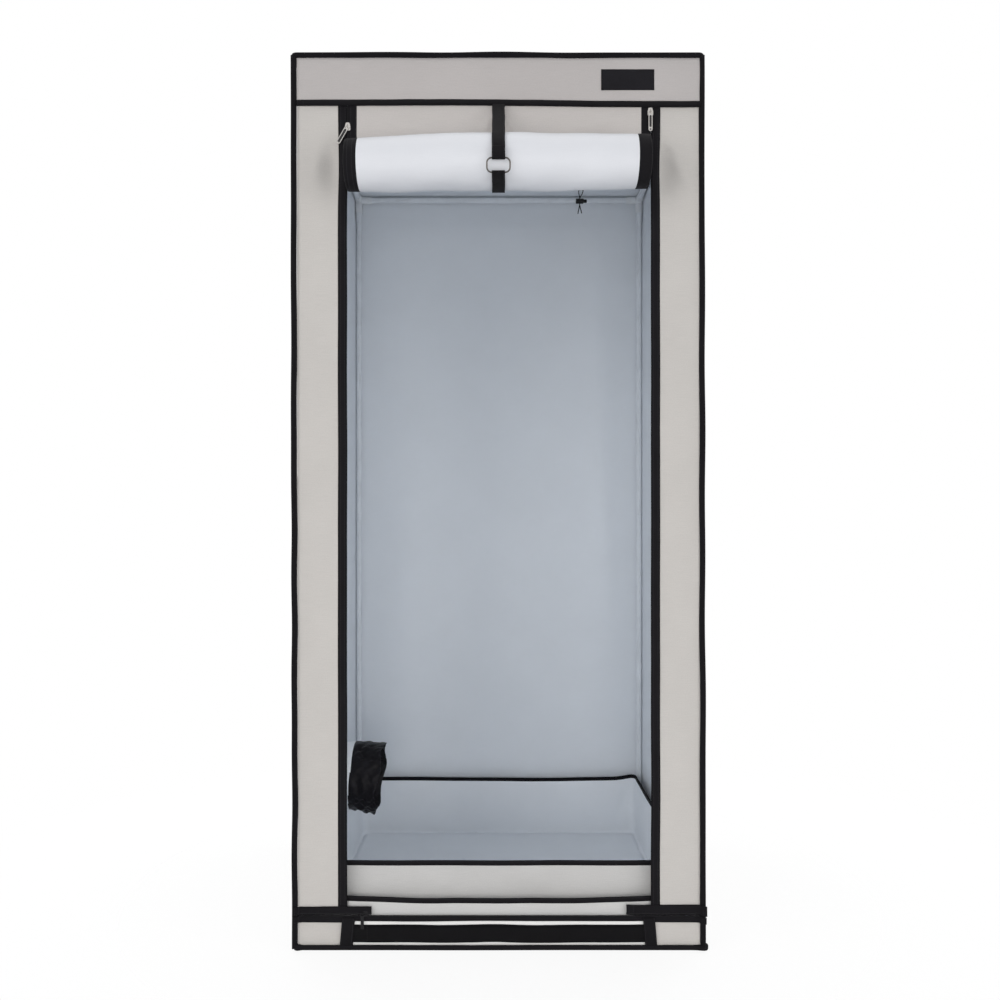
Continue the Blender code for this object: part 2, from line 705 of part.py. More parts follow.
def make_front_wall():
    """Header, front strips, sill, its flap with the hook-and-loop strip, and the light flap behind the sill."""
    edge = HALF_WIDTH - CLOTH - CLEARANCE
    strip_bottom = BOTTOM_TAPE_TOP + CLEARANCE
    for side, sign in (("left", -1), ("right", 1)):
        width = edge - STRIP_INNER_X
        centre = (sign * (STRIP_INNER_X + width / 2), FRONT_MIDDLE, (strip_bottom + DOOR_TOP) / 2)
        cloth_panel(
            f"{side}_front_strip", centre, (-1, 0, 0), (0, 0, 1), width, DOOR_TOP - strip_bottom, 0, (2, 8), SHELL
        )
    header_x = HALF_WIDTH - HEADER_END_GAP
    header_low = (-header_x, HEADER_BACK - CLOTH, HEADER_BOTTOM - CLOTH)
    panel = box("header_panel", header_low, (header_x, HEADER_BACK, COVER_HEIGHT - HEADER_END_GAP), SHELL)
    hem = outline("header_hem", [stadium(HEADER_HEM_THICKNESS, HEADER_HEM_HEIGHT)], 2 * header_x)
    hem.rotation_euler = (math.pi / 2, 0, math.pi / 2)
    hem.location = (0, HEADER_BACK - HEADER_HEM_THICKNESS / 2, HEM_BOTTOM + HEADER_HEM_HEIGHT / 2)
    fused(panel, [settle(hem)])
    box("sill_panel", (-edge, FRONT_FACE, WALL_BOTTOM), (edge, FRONT_FACE + CLOTH, SILL_TOP), SHELL)
    flap_bottom = BASE_BINDING_TOP + CLEARANCE
    flap_front = FRONT_SKIN - CLOTH
    box("sill_flap", (-SILL_FLAP_HALF_WIDTH, flap_front, flap_bottom), (SILL_FLAP_HALF_WIDTH, FRONT_SKIN, SILL_TOP), LINING)
    strip_top = HOOK_STRIP_BOTTOM + HOOK_STRIP_HEIGHT
    box(
        "hook_and_loop_strip",
        (-SILL_FLAP_HALF_WIDTH, HOOK_STRIP_FRONT, HOOK_STRIP_BOTTOM),
        (SILL_FLAP_HALF_WIDTH, HOOK_STRIP_FRONT + HOOK_STRIP_THICKNESS, strip_top),
        WEBBING,
    )
    sewn_y = FRONT_FACE + CLOTH + CLEARANCE + LIGHT_FLAP_THICKNESS / 2
    free_y = FRONT_MIDDLE + PLATE_INNER + SLIDER_PLATE + CLEARANCE + LIGHT_FLAP_THICKNESS / 2
    bend = SILL_TOP - (free_y - sewn_y)
    path = [(sewn_y, LIGHT_FLAP_BOTTOM), (sewn_y, bend), (free_y, SILL_TOP), (free_y, LIGHT_FLAP_TOP - LIGHT_FLAP_HEM_THICKNESS)]
    flap = ribbon("light_flap", path, [LIGHT_FLAP_HALF_WIDTH] * len(path), 0, LIGHT_FLAP_THICKNESS, SHELL)
    hem_y = free_y - LIGHT_FLAP_THICKNESS / 2
    bound = box(
        "light_flap_hem",
        (-LIGHT_FLAP_HALF_WIDTH - CLEARANCE, hem_y - CLEARANCE / 3, LIGHT_FLAP_TOP - LIGHT_FLAP_HEM_HEIGHT),
        (LIGHT_FLAP_HALF_WIDTH + CLEARANCE, hem_y + LIGHT_FLAP_HEM_THICKNESS, LIGHT_FLAP_TOP),
    )
    fused(flap, [bound])


def make_bindings():
    """The bound seams: one loop round the base, and one piece of the roof loop with its four upright seams."""
    base_out = BASE_BINDING_THICKNESS / 2 + CLEARANCE
    base_path = rounded_rectangle(HALF_WIDTH + base_out, HALF_DEPTH + base_out, BASE_CORNER_RADIUS)
    base_section = stadium(BASE_BINDING_THICKNESS, BASE_BINDING_HEIGHT, ARC_STEPS - 1)
    path = [(x, y, BASE_BINDING_HEIGHT / 2) for x, y in base_path]
    taped_loop("base_binding", path, base_section, BINDING)
    reach = BINDING_FOLD / 2 + BINDING_GAP
    side = stadium(BINDING_THICKNESS, BINDING_FOLD, ARC_STEPS - 1)
    shift = reach * math.sqrt(0.5)
    section = turned_section(side, -45, (shift, shift))
    roof_path = rounded_rectangle(HALF_WIDTH, HALF_DEPTH, BINDING_CORNER_RADIUS)
    roof_loop = taped_loop("seam_binding", [(x, y, COVER_HEIGHT) for x, y in roof_path], section, BINDING)
    low = BASE_BINDING_TOP + CLEARANCE
    high = COVER_HEIGHT + BINDING_THICKNESS * UPRIGHT_TUCK_SHARE
    uprights = []
    for sign_x in (-1, 1):
        for sign_y in (-1, 1):
            angle = math.degrees(math.atan2(sign_y, sign_x)) - 90
            upright = outline(f"upright_{sign_x}_{sign_y}", [turned_section(side, angle, (0, 0))], high - low)
            where = (sign_x * (HALF_WIDTH + shift), sign_y * (HALF_DEPTH + shift), (low + high) / 2)
            upright.location = where
            uprights.append(settle(upright))
    fused(roof_loop, uprights)


def tape_with_bead(name, length, material=None):
    """A half zip tape along local Z, its bead along the edge at local -X and its outer edge at +X."""
    flat = ZIP_TAPE_THICKNESS / 2
    bead = ZIP_BEAD / 2
    join = math.degrees(math.asin(flat / bead))
    rim = arc((bead, 0), bead, join, 360 - join, 2 * ARC_STEPS)
    rim += [(ZIP_TAPE_WIDTH, -flat), (ZIP_TAPE_WIDTH, flat)]
    return outline(name, [rim], length, material)


def make_zip_tapes():
    """The half tapes sewn to the front wall: one each side with its short lower stub, and the sill's own."""
    slider_reach = SLIDER_LENGTH / 2 + SLIDER_CLEARANCE
    upright_bottom = BOTTOM_ZIP_Z + slider_reach + CLEARANCE
    length = ROOF_UNDERSIDE - CLEARANCE - upright_bottom
    edge = HALF_WIDTH - CLOTH - CLEARANCE
    stub_low = BOTTOM_ZIP_Z + ZIP_HALF_GAP
    for side, sign in (("left", -1), ("right", 1)):
        tape = tape_with_bead(f"{side}_zip_tape", length, BINDING)
        tape.location = (sign * (DOOR_ZIP_X + ZIP_HALF_GAP), FRONT_MIDDLE, upright_bottom + length / 2)
        tape.rotation_euler.z = 0 if sign > 0 else math.pi
        flat = ZIP_TAPE_THICKNESS / 2
        ends = sorted((sign * BOTTOM_STUB_REACH, sign * edge))
        stub = box(
            f"{side}_stub",
            (ends[0], FRONT_MIDDLE - flat, stub_low + ZIP_BEAD / 2),
            (ends[1], FRONT_MIDDLE + flat, BOTTOM_TAPE_TOP),
        )
        bead_z = stub_low + ZIP_BEAD / 2
        bead = rod(f"{side}_bead", (ends[0], FRONT_MIDDLE, bead_z), (ends[1], FRONT_MIDDLE, bead_z), ZIP_BEAD / 2, 2 * ARC_STEPS)
        fused(settle(tape), [stub, bead])
    flat = ZIP_TAPE_THICKNESS / 2
    bead_z = BOTTOM_ZIP_Z - ZIP_HALF_GAP - ZIP_BEAD / 2
    tape = box("bottom_zip_tape", (-edge, FRONT_MIDDLE - flat, SILL_TOP + CLEARANCE), (edge, FRONT_MIDDLE + flat, bead_z), BINDING)
    bead = rod("bottom_bead", (-edge, FRONT_MIDDLE, bead_z), (edge, FRONT_MIDDLE, bead_z), ZIP_BEAD / 2, 2 * ARC_STEPS)
    fused(tape, [bead])


def roll_path():
    """The door's path of (y, z) points: straight down from its top seam, then round and round inwards."""
    rolled = ROLL_CENTRE_Z - DOOR_BOTTOM_WHEN_CLOSED
    core = math.sqrt(ROLL_RADIUS**2 - rolled * ROLL_PITCH / math.pi)
    turns = (ROLL_RADIUS - core) / ROLL_PITCH
    steps = round(turns * ROLL_STEPS_PER_TURN)
    path = [(FRONT_MIDDLE, DOOR_TOP), (FRONT_MIDDLE, ROLL_CENTRE_Z + ROLL_RADIUS + DOOR_NARROWING)]
    path.append((FRONT_MIDDLE, ROLL_CENTRE_Z + ROLL_RADIUS))
    for step in range(steps + 1):
        turn = turns * step / steps
        radius = ROLL_RADIUS - ROLL_PITCH * turn
        angle = 2 * math.pi * turn
        path.append((ROLL_CENTRE_Y + radius * math.cos(angle), ROLL_CENTRE_Z - radius * math.sin(angle)))
    return path


def make_door():
    """The door panel with its tape edges, rolled towards the front so that its white lining shows."""
    path = roll_path()
    halves = [DOOR_HALF_WIDTH, DOOR_HALF_WIDTH] + [ROLL_HALF_WIDTH] * (len(path) - 2)
    ribbon("door_panel", path, halves, 0, CLOTH, LINING)


def on_roll(degrees, radius):
    """The (y, z) point at an angle round the roll, from the back over the top."""
    angle = math.radians(degrees)
    return (ROLL_CENTRE_Y + radius * math.cos(angle), ROLL_CENTRE_Z + radius * math.sin(angle))


def roll_arc(radius, start, end):
    """Points round the roll between two angles."""
    steps = max(2, round(abs(end - start) / STRAP_STEP_DEGREES))
    return arc((ROLL_CENTRE_Y, ROLL_CENTRE_Z), radius, start, end, steps)


def make_strap():
    """Upper and lower strap, each folded back round one long side of the oval ring that lies on the roll."""
    near = ROLL_RADIUS + CLOTH / 2 + STRAP_LIFT + STRAP_THICKNESS / 2
    fold = RING_WIRE / 2 + RING_LOOP_GAP + STRAP_THICKNESS / 2
    bar_radius = near + fold
    bar_offset = (RING_HEIGHT - RING_WIRE) / 2
    bar_angle = math.degrees(math.asin(bar_offset / bar_radius))
    back = math.degrees(STRAP_RETURN / bar_radius)
    half = [STRAP_WIDTH / 2]
    sewn = (HEADER_BACK - HEADER_HEM_THICKNESS / 2, HEM_BOTTOM - CLEARANCE - STRAP_THICKNESS / 2)
    away = (sewn[0] - ROLL_CENTRE_Y, sewn[1] - ROLL_CENTRE_Z)
    tangent = math.degrees(math.atan2(away[1], away[0]) + math.acos(near / math.hypot(*away)))
    top_bar = RING_ANGLE_DEGREES - bar_angle
    upper = [sewn] + roll_arc(near, tangent, top_bar)
    upper += arc(on_roll(top_bar, bar_radius), fold, top_bar + 180, top_bar, ARC_STEPS)[1:-1]
    upper += roll_arc(bar_radius + fold, top_bar, top_bar - back)
    ribbon("door_strap_upper", upper, half * len(upper), STRAP_X, STRAP_THICKNESS, WEBBING)
    low_bar = RING_ANGLE_DEGREES + bar_angle
    lower = roll_arc(bar_radius + fold, low_bar + back, low_bar)
    lower += arc(on_roll(low_bar, bar_radius), fold, low_bar, low_bar - 180, ARC_STEPS)[1:-1]
    lower += roll_arc(near, low_bar, 360)
    lower.append((ROLL_CENTRE_Y + near, HEADER_BOTTOM))
    ribbon("door_strap_lower", lower, half * len(lower), STRAP_X, STRAP_THICKNESS, WEBBING)
    rim = rounded_rectangle((RING_WIDTH - RING_WIRE) / 2, bar_offset, RING_CORNER_RADIUS)
    ring = wire("strap_ring", [(x, y, 0) for x, y in rim], RING_WIRE, METAL, True, RING_WIRE_RESOLUTION)
    rise = math.sqrt(bar_radius**2 - bar_offset**2)
    ring.location = (STRAP_X, *on_roll(RING_ANGLE_DEGREES, rise))
    ring.rotation_euler.x = math.radians(RING_ANGLE_DEGREES) - math.pi / 2


def make_slider(name, location, turn, top, look):
    """A zip slider: two tapered plates joined by a post between the beads, and a wire bridge for the pull.

    In its own frame the zip runs along Y, open towards -Y, the front faces +Z and the bridge's wire runs at height top.
    """
    half = SLIDER_LENGTH / 2
    corner = SLIDER_PLATE
    rim = [
        (-SLIDER_WIDE_END / 2, -half + corner),
        (-SLIDER_WIDE_END / 2 + corner, -half),
        (SLIDER_WIDE_END / 2 - corner, -half),
        (SLIDER_WIDE_END / 2, -half + corner),
        (SLIDER_WIDE_END / 2, 0),
        (SLIDER_NARROW_END / 2, half - corner),
        (SLIDER_NARROW_END / 2 - corner, half),
        (-SLIDER_NARROW_END / 2 + corner, half),
        (-SLIDER_NARROW_END / 2, half - corner),
        (-SLIDER_WIDE_END / 2, 0),
    ]
    front = outline(name, [rim], SLIDER_PLATE, look)
    front.location.z = PLATE_INNER + SLIDER_PLATE / 2
    back = outline(name + "_back", [rim], SLIDER_PLATE)
    back.location.z = -PLATE_INNER - SLIDER_PLATE / 2
    reach = PLATE_INNER + SLIDER_PLATE / 2
    post = box(
        name + "_post", (-SLIDER_POST / 2, -half + corner, -reach), (SLIDER_POST / 2, -half + corner + SLIDER_POST_LENGTH, reach)
    )
    foot = PLATE_INNER + SLIDER_PLATE / 2
    span = BRIDGE_SPAN / 2
    bend = BRIDGE_WIRE / 2
    bridge = wire(
        name + "_bridge",
        [(0, -span, foot), (0, -span, top - bend), (0, -span + bend, top), (0, span - bend, top), (0, span, top - bend), (0, span, foot)],
        BRIDGE_WIRE,
        look,
    )
    made = fused(settle(front), [settle(back), post, settle(bridge)])
    made.data.transform(Matrix.LocRotScale(None, turn, None))
    made.location = location
    return made


def make_pull(name, location, length, width, cant_degrees, lift):
    """A flat pull tab. Its eye bar lies on the object's origin, or is lifted over a bridge leg that does."""
    round_end = not lift
    bar = PULL_EYE_BAR / 2
    eye_half = PULL_EYE_WIDTH / 2
    shoulder = eye_half + PULL_RIM
    eye_low = -bar - PULL_EYE_LENGTH
    neck = eye_low - PULL_RIM
    half = width / 2
    rim = [(shoulder - bar, bar), (-shoulder + bar, bar), (-shoulder, 0), (-shoulder, eye_low), (-half, neck - PULL_RIM)]
    if round_end:
        rim += arc((0, -length + half), half, 180, 360, 2 * ARC_STEPS)
    else:
        rim += [(-half, -length + bar), (-half + bar, -length), (half - bar, -length), (half, -length + bar)]
    rim += [(half, neck - PULL_RIM), (shoulder, eye_low), (shoulder, 0)]
    eye = [(-eye_half, -bar), (-eye_half, eye_low), (eye_half, eye_low), (eye_half, -bar)]
    hole = arc((0, -length + half), PULL_HOLE_DIAMETER / 2, 0, 360, 2 * ARC_STEPS)[:-1]
    tab = outline(name, [rim, eye, hole] if round_end else [rim, eye], PULL_THICKNESS, METAL if round_end else BINDING)
    made = settle(tab)
    made.data.transform(Matrix.Translation((0, lift, 0)))
    made.data.transform(Matrix.Rotation(math.radians(cant_degrees), 4, "Z"))
    made.data.transform(Matrix.Rotation(math.pi / 2, 4, "X"))
    made.location = location
    return made


def make_sliders():
    """The two door sliders, the sill slider and their pulls, each pull's origin on its own hinge line."""
    upright = Matrix.Rotation(math.pi / 2, 3, "X").to_quaternion()
    level = (Matrix.Rotation(-math.pi / 2, 3, "Y") @ Matrix.Rotation(math.pi / 2, 3, "X")).to_quaternion()
    pull_y = FRONT_MIDDLE - PULL_PLANE
    for side, x, z, cant in (
        ("left", -DOOR_ZIP_X, LEFT_SLIDER_Z, -LEFT_PULL_CANT_DEGREES),
        ("right", DOOR_ZIP_X, RIGHT_SLIDER_Z, 0),
    ):
        make_slider(f"{side}_zip_slider", (x, FRONT_MIDDLE, z), upright, PLATE_INNER + SLIDER_PLATE + BRIDGE_RISE, METAL)
        make_pull(f"{side}_zip_pull", (x, pull_y, z), PULL_LENGTH, PULL_WIDTH, cant, 0)
    make_slider("bottom_zip_slider", (BOTTOM_SLIDER_X, FRONT_MIDDLE, BOTTOM_ZIP_Z), level, BOTTOM_BRIDGE_TOP, PLASTIC)
    leg = (BOTTOM_SLIDER_X - BRIDGE_SPAN / 2, BOTTOM_PULL_Y, BOTTOM_ZIP_Z)
    make_pull("bottom_zip_pull", leg, BOTTOM_PULL_LENGTH, BOTTOM_PULL_WIDTH, 0, BOTTOM_PULL_LIFT)


def sleeve_ring(radius, along, less, tilt=0.0, shift=0.0):
    """One loop of a sleeve: its radius at an angle less so much, its distance along local Z, its tilt and its shift along X."""
    row = []
    for step in range(SLEEVE_SIDES):
        angle = 2 * math.pi * step / SLEEVE_SIDES
        reach = radius(angle) - less
        row.append(Vector((reach * math.cos(angle) + shift, reach * math.sin(angle), along + tilt * math.cos(angle))))
    return row


def sleeve_loops(port_radius, stations):
    """A sewn flat collar round a port and the sleeve that goes on from it, as one ring of loops round the cloth's section.

    Each station is (radius at an angle, distance along local Z, tilt of its edge, shift along local X).
    """
    flange = plain(port_radius + SLEEVE_FLANGE)
    port = plain(port_radius)
    top = CLEARANCE + SLEEVE_WALL
    outside = [sleeve_ring(flange, CLEARANCE, 0), sleeve_ring(flange, top, 0), sleeve_ring(port, top, 0)]
    inside = [sleeve_ring(port, CLEARANCE, SLEEVE_WALL)]
    for radius, along, tilt, shift in stations:
        outside.append(sleeve_ring(radius, along, 0, tilt, shift))
        inside.append(sleeve_ring(radius, along, SLEEVE_WALL, tilt, shift))
    return outside + inside[::-1]


def plain(radius):
    """A radius that is the same all round."""
    return lambda angle: radius


def fluted(radius, depth, count, turn=0.0):
    """A radius with soft folds round it."""
    return lambda angle: radius + depth * math.cos(count * angle + turn)


def make_roof_sleeve():
    """A collar sewn under the roof port and a sleeve gathered in folds to a small neck."""
    top = CLEARANCE + SLEEVE_WALL
    stations = []
    lean = ROOF_NECK_X - ROOF_PORT_X
    for down_share, radius_share, fold_share in ROOF_SLEEVE_SHARES:
        radius = ROOF_NECK_RADIUS + (ROOF_PORT_RADIUS - ROOF_NECK_RADIUS) * radius_share
        along = top + (ROOF_SLEEVE_DROP - top) * down_share
        stations.append((fluted(radius, radius * fold_share, SLEEVE_PLEATS), along, 0, lean * down_share))
    made = loft("roof_sleeve", sleeve_loops(ROOF_PORT_RADIUS, stations), SLEEVE_CLOTH, True)
    made.data.transform(Matrix.Rotation(math.pi, 4, "X"))
    half = (COVER_WIDTH - 2 * (CLOTH + CLEARANCE)) / 2
    spread = (ROOF_PORT_RADIUS + SLEEVE_FLANGE) / half
    sunk = seat(ROOF_SLACK, -ROOF_PORT_X / half, ROOF_PORT_Y / half, spread, spread)
    made.location = (ROOF_PORT_X, ROOF_PORT_Y, ROOF_UNDERSIDE - sunk)


def make_wall_sleeve():
    """A collar sewn inside the left wall port and a limp sleeve that stands into the tent and droops."""
    top = CLEARANCE + SLEEVE_WALL
    stations = []
    for reach_share, ripple_share, count in WALL_SLEEVE_SHARES:
        ripple = WALL_SLEEVE_RIPPLE * ripple_share
        radius = WALL_PORT_RADIUS - 2 * WALL_SLEEVE_RIPPLE * reach_share
        lean = WALL_SLEEVE_LEAN * reach_share * reach_share
        droop = WALL_SLEEVE_DROOP * reach_share * reach_share
        along = top + (WALL_SLEEVE_REACH - top) * reach_share
        stations.append((fluted(radius, ripple, count, reach_share), along, lean, -droop))
    made = loft("wall_sleeve", sleeve_loops(WALL_PORT_RADIUS, stations), SLEEVE_CLOTH, True)
    made.data.transform(Matrix(((0, 0, 1, 0), (0, -1, 0, 0), (1, 0, 0, 0), (0, 0, 0, 1))))
    middle = (COVER_HEIGHT + WALL_BOTTOM) / 2
    half_height = (COVER_HEIGHT - WALL_BOTTOM) / 2
    spread = WALL_PORT_RADIUS + SLEEVE_FLANGE
    a, b = WALL_PORT_Y / HALF_DEPTH, (WALL_PORT_Z - middle) / half_height
    sunk = seat(WALL_SLACK, a, b, spread / HALF_DEPTH, spread / half_height)
    made.location = (-HALF_WIDTH + CLOTH + sunk, WALL_PORT_Y, WALL_PORT_Z)


def smooth_route(route, step):
    """Points on a smooth curve through a route's own points, about a step apart."""
    points = [Vector(point) for point in route]
    ends = [points[0] * 2 - points[1]] + points + [points[-1] * 2 - points[-2]]
    made = []
    for index in range(1, len(ends) - 2):
        before, first, second, after = ends[index - 1 : index + 3]
        count = max(1, round((second - first).length / step))
        for part in range(count):
            t = part / count
            made.append(
                0.5
                * (
                    2 * first
                    + (second - before) * t
                    + (2 * before - 5 * first + 4 * second - after) * t * t
                    + (3 * first - before - 3 * second + after) * t * t * t
                )
            )
    made.append(points[-1])
    return made


def make_drawstring():
    """The two strands, the cord lock that grips them and its sprung button."""
    for side, route in (("left", CORD_LEFT_ROUTE), ("right", CORD_RIGHT_ROUTE)):
        placed = [(x, y, z + COVER_HEIGHT - CORD_ROUTE_ROOF) for x, y, z in route]
        wire(f"drawstring_{side}", smooth_route(placed, CORD_STEP), CORD_DIAMETER, WEBBING, False, 2)
    bore_radius = LOCK_BORE_DIAMETER / 2
    cord_y = (CORD_LEFT_ROUTE[5][1] + CORD_RIGHT_ROUTE[5][1]) / 2
    slot_x = CORD_DIAMETER / 2 + CORD_SLOT_CLEARANCE
    slot_y = (CORD_RIGHT_ROUTE[5][1] - CORD_LEFT_ROUTE[5][1]) / 2 + slot_x
    body_start = LOCK_CORD_X - LOCK_LENGTH / 2
    body_end = LOCK_CORD_X + LOCK_LENGTH / 2
    radius = LOCK_DIAMETER / 2
    work = bmesh.new()
    bmesh.ops.create_cone(work, cap_ends=True, segments=LOCK_SIDES, radius1=radius, radius2=radius, depth=LOCK_LENGTH)
    rims = [edge for edge in work.edges if abs(edge.verts[0].co.z - edge.verts[1].co.z) < LOCK_RIM / 2]
    bmesh.ops.bevel(work, geom=rims, offset=LOCK_RIM, segments=1, affect="EDGES")
    lock = mesh_of("cord_lock", work, PLASTIC)
    lock.data.transform(Matrix.Rotation(math.pi / 2, 4, "Y"))
    lock.location = (LOCK_CORD_X, cord_y, LOCK_Z)
    centre = Vector((0, cord_y, LOCK_Z))
    bore = rod("lock_bore", centre + Vector((body_start + LOCK_END_WALL, 0, 0)), centre + Vector((body_end + OVERRUN, 0, 0)), bore_radius, LOCK_SIDES)
    slot = box(
        "lock_slot",
        (LOCK_CORD_X - slot_x, cord_y - slot_y, LOCK_Z - LOCK_DIAMETER),
        (LOCK_CORD_X + slot_x, cord_y + slot_y, LOCK_Z + LOCK_DIAMETER),
    )
    set_origin(fused(lock, [bore, slot], "DIFFERENCE"), (LOCK_CORD_X, cord_y, LOCK_Z))
    button_radius = bore_radius * math.cos(math.pi / LOCK_SIDES) - BUTTON_CLEARANCE
    button_start = body_start + LOCK_END_WALL + CLEARANCE + BUTTON_TRAVEL
    button_end = body_end + BUTTON_STANDOUT
    work = bmesh.new()
    bmesh.ops.create_cone(work, cap_ends=True, segments=LOCK_SIDES, radius1=button_radius, radius2=button_radius, depth=button_end - button_start)
    rims = [edge for edge in work.edges if edge.verts[0].co.z > 0 and edge.verts[1].co.z > 0]
    bmesh.ops.bevel(work, geom=rims, offset=LOCK_RIM, segments=2, affect="EDGES")
    button = mesh_of("cord_lock_button", work, PLASTIC)
    button.data.transform(Matrix.Rotation(math.pi / 2, 4, "Y"))
    button.location = ((button_start + button_end) / 2, cord_y, LOCK_Z)
    window = box(
        "button_slot",
        (LOCK_CORD_X - slot_x, cord_y - slot_y, LOCK_Z - LOCK_DIAMETER),
        (LOCK_CORD_X + slot_x + BUTTON_TRAVEL, cord_y + slot_y, LOCK_Z + LOCK_DIAMETER),
    )
    set_origin(fused(button, [window], "DIFFERENCE"), (LOCK_CORD_X, cord_y, LOCK_Z))


def make_tray():
    """An open tray of coated cloth with soft corners, slack walls and a bound rim."""
    def level(inset, z, slack=0.0):
        points = rounded_rectangle(TRAY_HALF_WIDTH - inset, TRAY_HALF_DEPTH - inset, TRAY_CORNER_RADIUS - min(inset, TRAY_FLOOR_RADIUS))
        return [(x, y, z - slack * abs(math.sin(math.atan2(y, x) * 2))) for x, y in points]

    top = TRAY_FLOOR_Z + TRAY_HEIGHT
    rim = TRAY_RIM_THICKNESS
    loops = [
        level(TRAY_FLOOR_RADIUS + rim, TRAY_FLOOR_Z),
        level(TRAY_FLOOR_RADIUS * 0.3 + rim, TRAY_FLOOR_Z + TRAY_FLOOR_RADIUS * 0.3),
        level(rim, TRAY_FLOOR_Z + TRAY_FLOOR_RADIUS),
        level(rim + TRAY_SLACK, TRAY_FLOOR_Z + TRAY_HEIGHT / 2),
        level(rim, top - TRAY_RIM_HEIGHT),
        level(0, top - TRAY_RIM_HEIGHT + rim),
        level(0, top - rim),
        level(rim, top),
        level(rim + TRAY_WALL, top),
        level(rim + TRAY_WALL + TRAY_SLACK, TRAY_FLOOR_Z + TRAY_HEIGHT / 2),
        level(rim + TRAY_WALL, TRAY_FLOOR_Z + TRAY_FLOOR_RADIUS),
        level(TRAY_FLOOR_RADIUS + rim, TRAY_FLOOR_Z + TRAY_WALL),
    ]
    loft("spill_tray", loops, TRAY_CLOTH)


make_frame()
make_connectors()
make_hanging_bar("hanging_bar_front", BAR_FRONT_Y)
make_hanging_bar("hanging_bar_rear", BAR_REAR_Y)
make_panels()
make_front_wall()
make_bindings()
make_zip_tapes()
make_door()
make_strap()
make_sliders()
make_roof_sleeve()
make_wall_sleeve()
make_drawstring()
make_tray()

for obj in PARTS.objects:
    if obj.type == "MESH":
        obj.data.shade_smooth()
        obj.data.set_sharp_from_angle(angle=math.radians(35))
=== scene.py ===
"""Indoor grow tent, front door rolled up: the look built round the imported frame.

Tubes, connectors, sliders and small hardware keep their CAD meshes and get finishes here.
Every sewn, hung, rolled or laid piece is a surface computed from arrays, and stands for its CAD node.
Lengths are metres. X runs to the right, Y into the tent and Z up, with the floor at Z = 0.
"""

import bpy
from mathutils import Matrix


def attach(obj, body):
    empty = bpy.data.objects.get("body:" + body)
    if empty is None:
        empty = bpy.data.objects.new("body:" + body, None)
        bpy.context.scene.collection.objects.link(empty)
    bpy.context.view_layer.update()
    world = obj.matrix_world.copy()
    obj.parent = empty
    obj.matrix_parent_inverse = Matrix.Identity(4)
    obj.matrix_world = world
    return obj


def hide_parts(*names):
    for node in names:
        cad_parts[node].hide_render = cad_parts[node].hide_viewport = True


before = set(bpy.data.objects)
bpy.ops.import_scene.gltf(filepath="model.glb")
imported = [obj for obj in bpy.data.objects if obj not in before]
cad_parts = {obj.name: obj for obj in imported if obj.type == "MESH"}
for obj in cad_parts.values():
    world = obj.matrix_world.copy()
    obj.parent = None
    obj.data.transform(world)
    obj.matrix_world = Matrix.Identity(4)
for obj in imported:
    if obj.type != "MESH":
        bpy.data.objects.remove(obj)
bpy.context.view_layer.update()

import logging
import math
from dataclasses import dataclass
from enum import Enum

import bpy
import numpy as np

LOG = logging.getLogger("grow_tent")
Array = np.ndarray
Socket = bpy.types.NodeSocket
Material = bpy.types.Material
Piece = bpy.types.Object
Place = tuple[float, float]
Colour = tuple[float, float, float]
Point = tuple[float, float, float]

# The CAD body that everything rides on, and the numbers of a colour Mix node's sockets.
TENT = "tent"
MIX_A, MIX_B, MIX_OUT = 6, 7, 2

# Half the cover's outer width, its height, its cloth's thickness, the gap between panels, and the front's middle plane.
HALF = 0.405
HEIGHT = 1.787
CLOTH = 0.002
GAP = 0.0003
FRONT_Y = -HALF + CLOTH / 2

# The rolled door's centre (y, z), both ports (centre and radius), their collars' width and cloth, and the coils' ends.
ROLL: Place = (-0.4620, 1.5585)
ROOF_PORT: Point = (0.208, 0.195, 0.074)
WALL_PORT: Point = (-0.030, 0.260, 0.078)
COLLAR = 0.016
SLEEVE_CLOTH = 0.0014
COIL_END = 0.4030

# Directions, and colours that several finishes share.
BACKWARD: Point = (0.0, 1.0, 0.0)
UPWARD: Point = (0.0, 0.0, 1.0)
BEIGE: Colour = (0.526, 0.500, 0.476)
BLACK: Colour = (0.0060, 0.0054, 0.0068)
BRIGHT: Colour = (0.50, 0.48, 0.46)


class Slot(Enum):
    """The record's material slots for the soft pieces."""

    SHELL = "shell_cloth"
    LINING = "white_lining"
    TRAY = "tray_cloth"
    BINDING = "binding_tape"
    WEBBING = "webbing"
    SLEEVE = "sleeve_cloth"


class Side(Enum):
    """Left is towards -X and right towards +X."""

    LEFT = -1
    RIGHT = 1

    @property
    def label(self) -> str:
        """The side's name as the pieces use it."""
        return self.name.lower()

    def span(self, inner: float, outer: float) -> Place:
        """The low and the high x of something that reaches from inner to outer on this side."""
        return min(self.value * inner, self.value * outer), max(self.value * inner, self.value * outer)


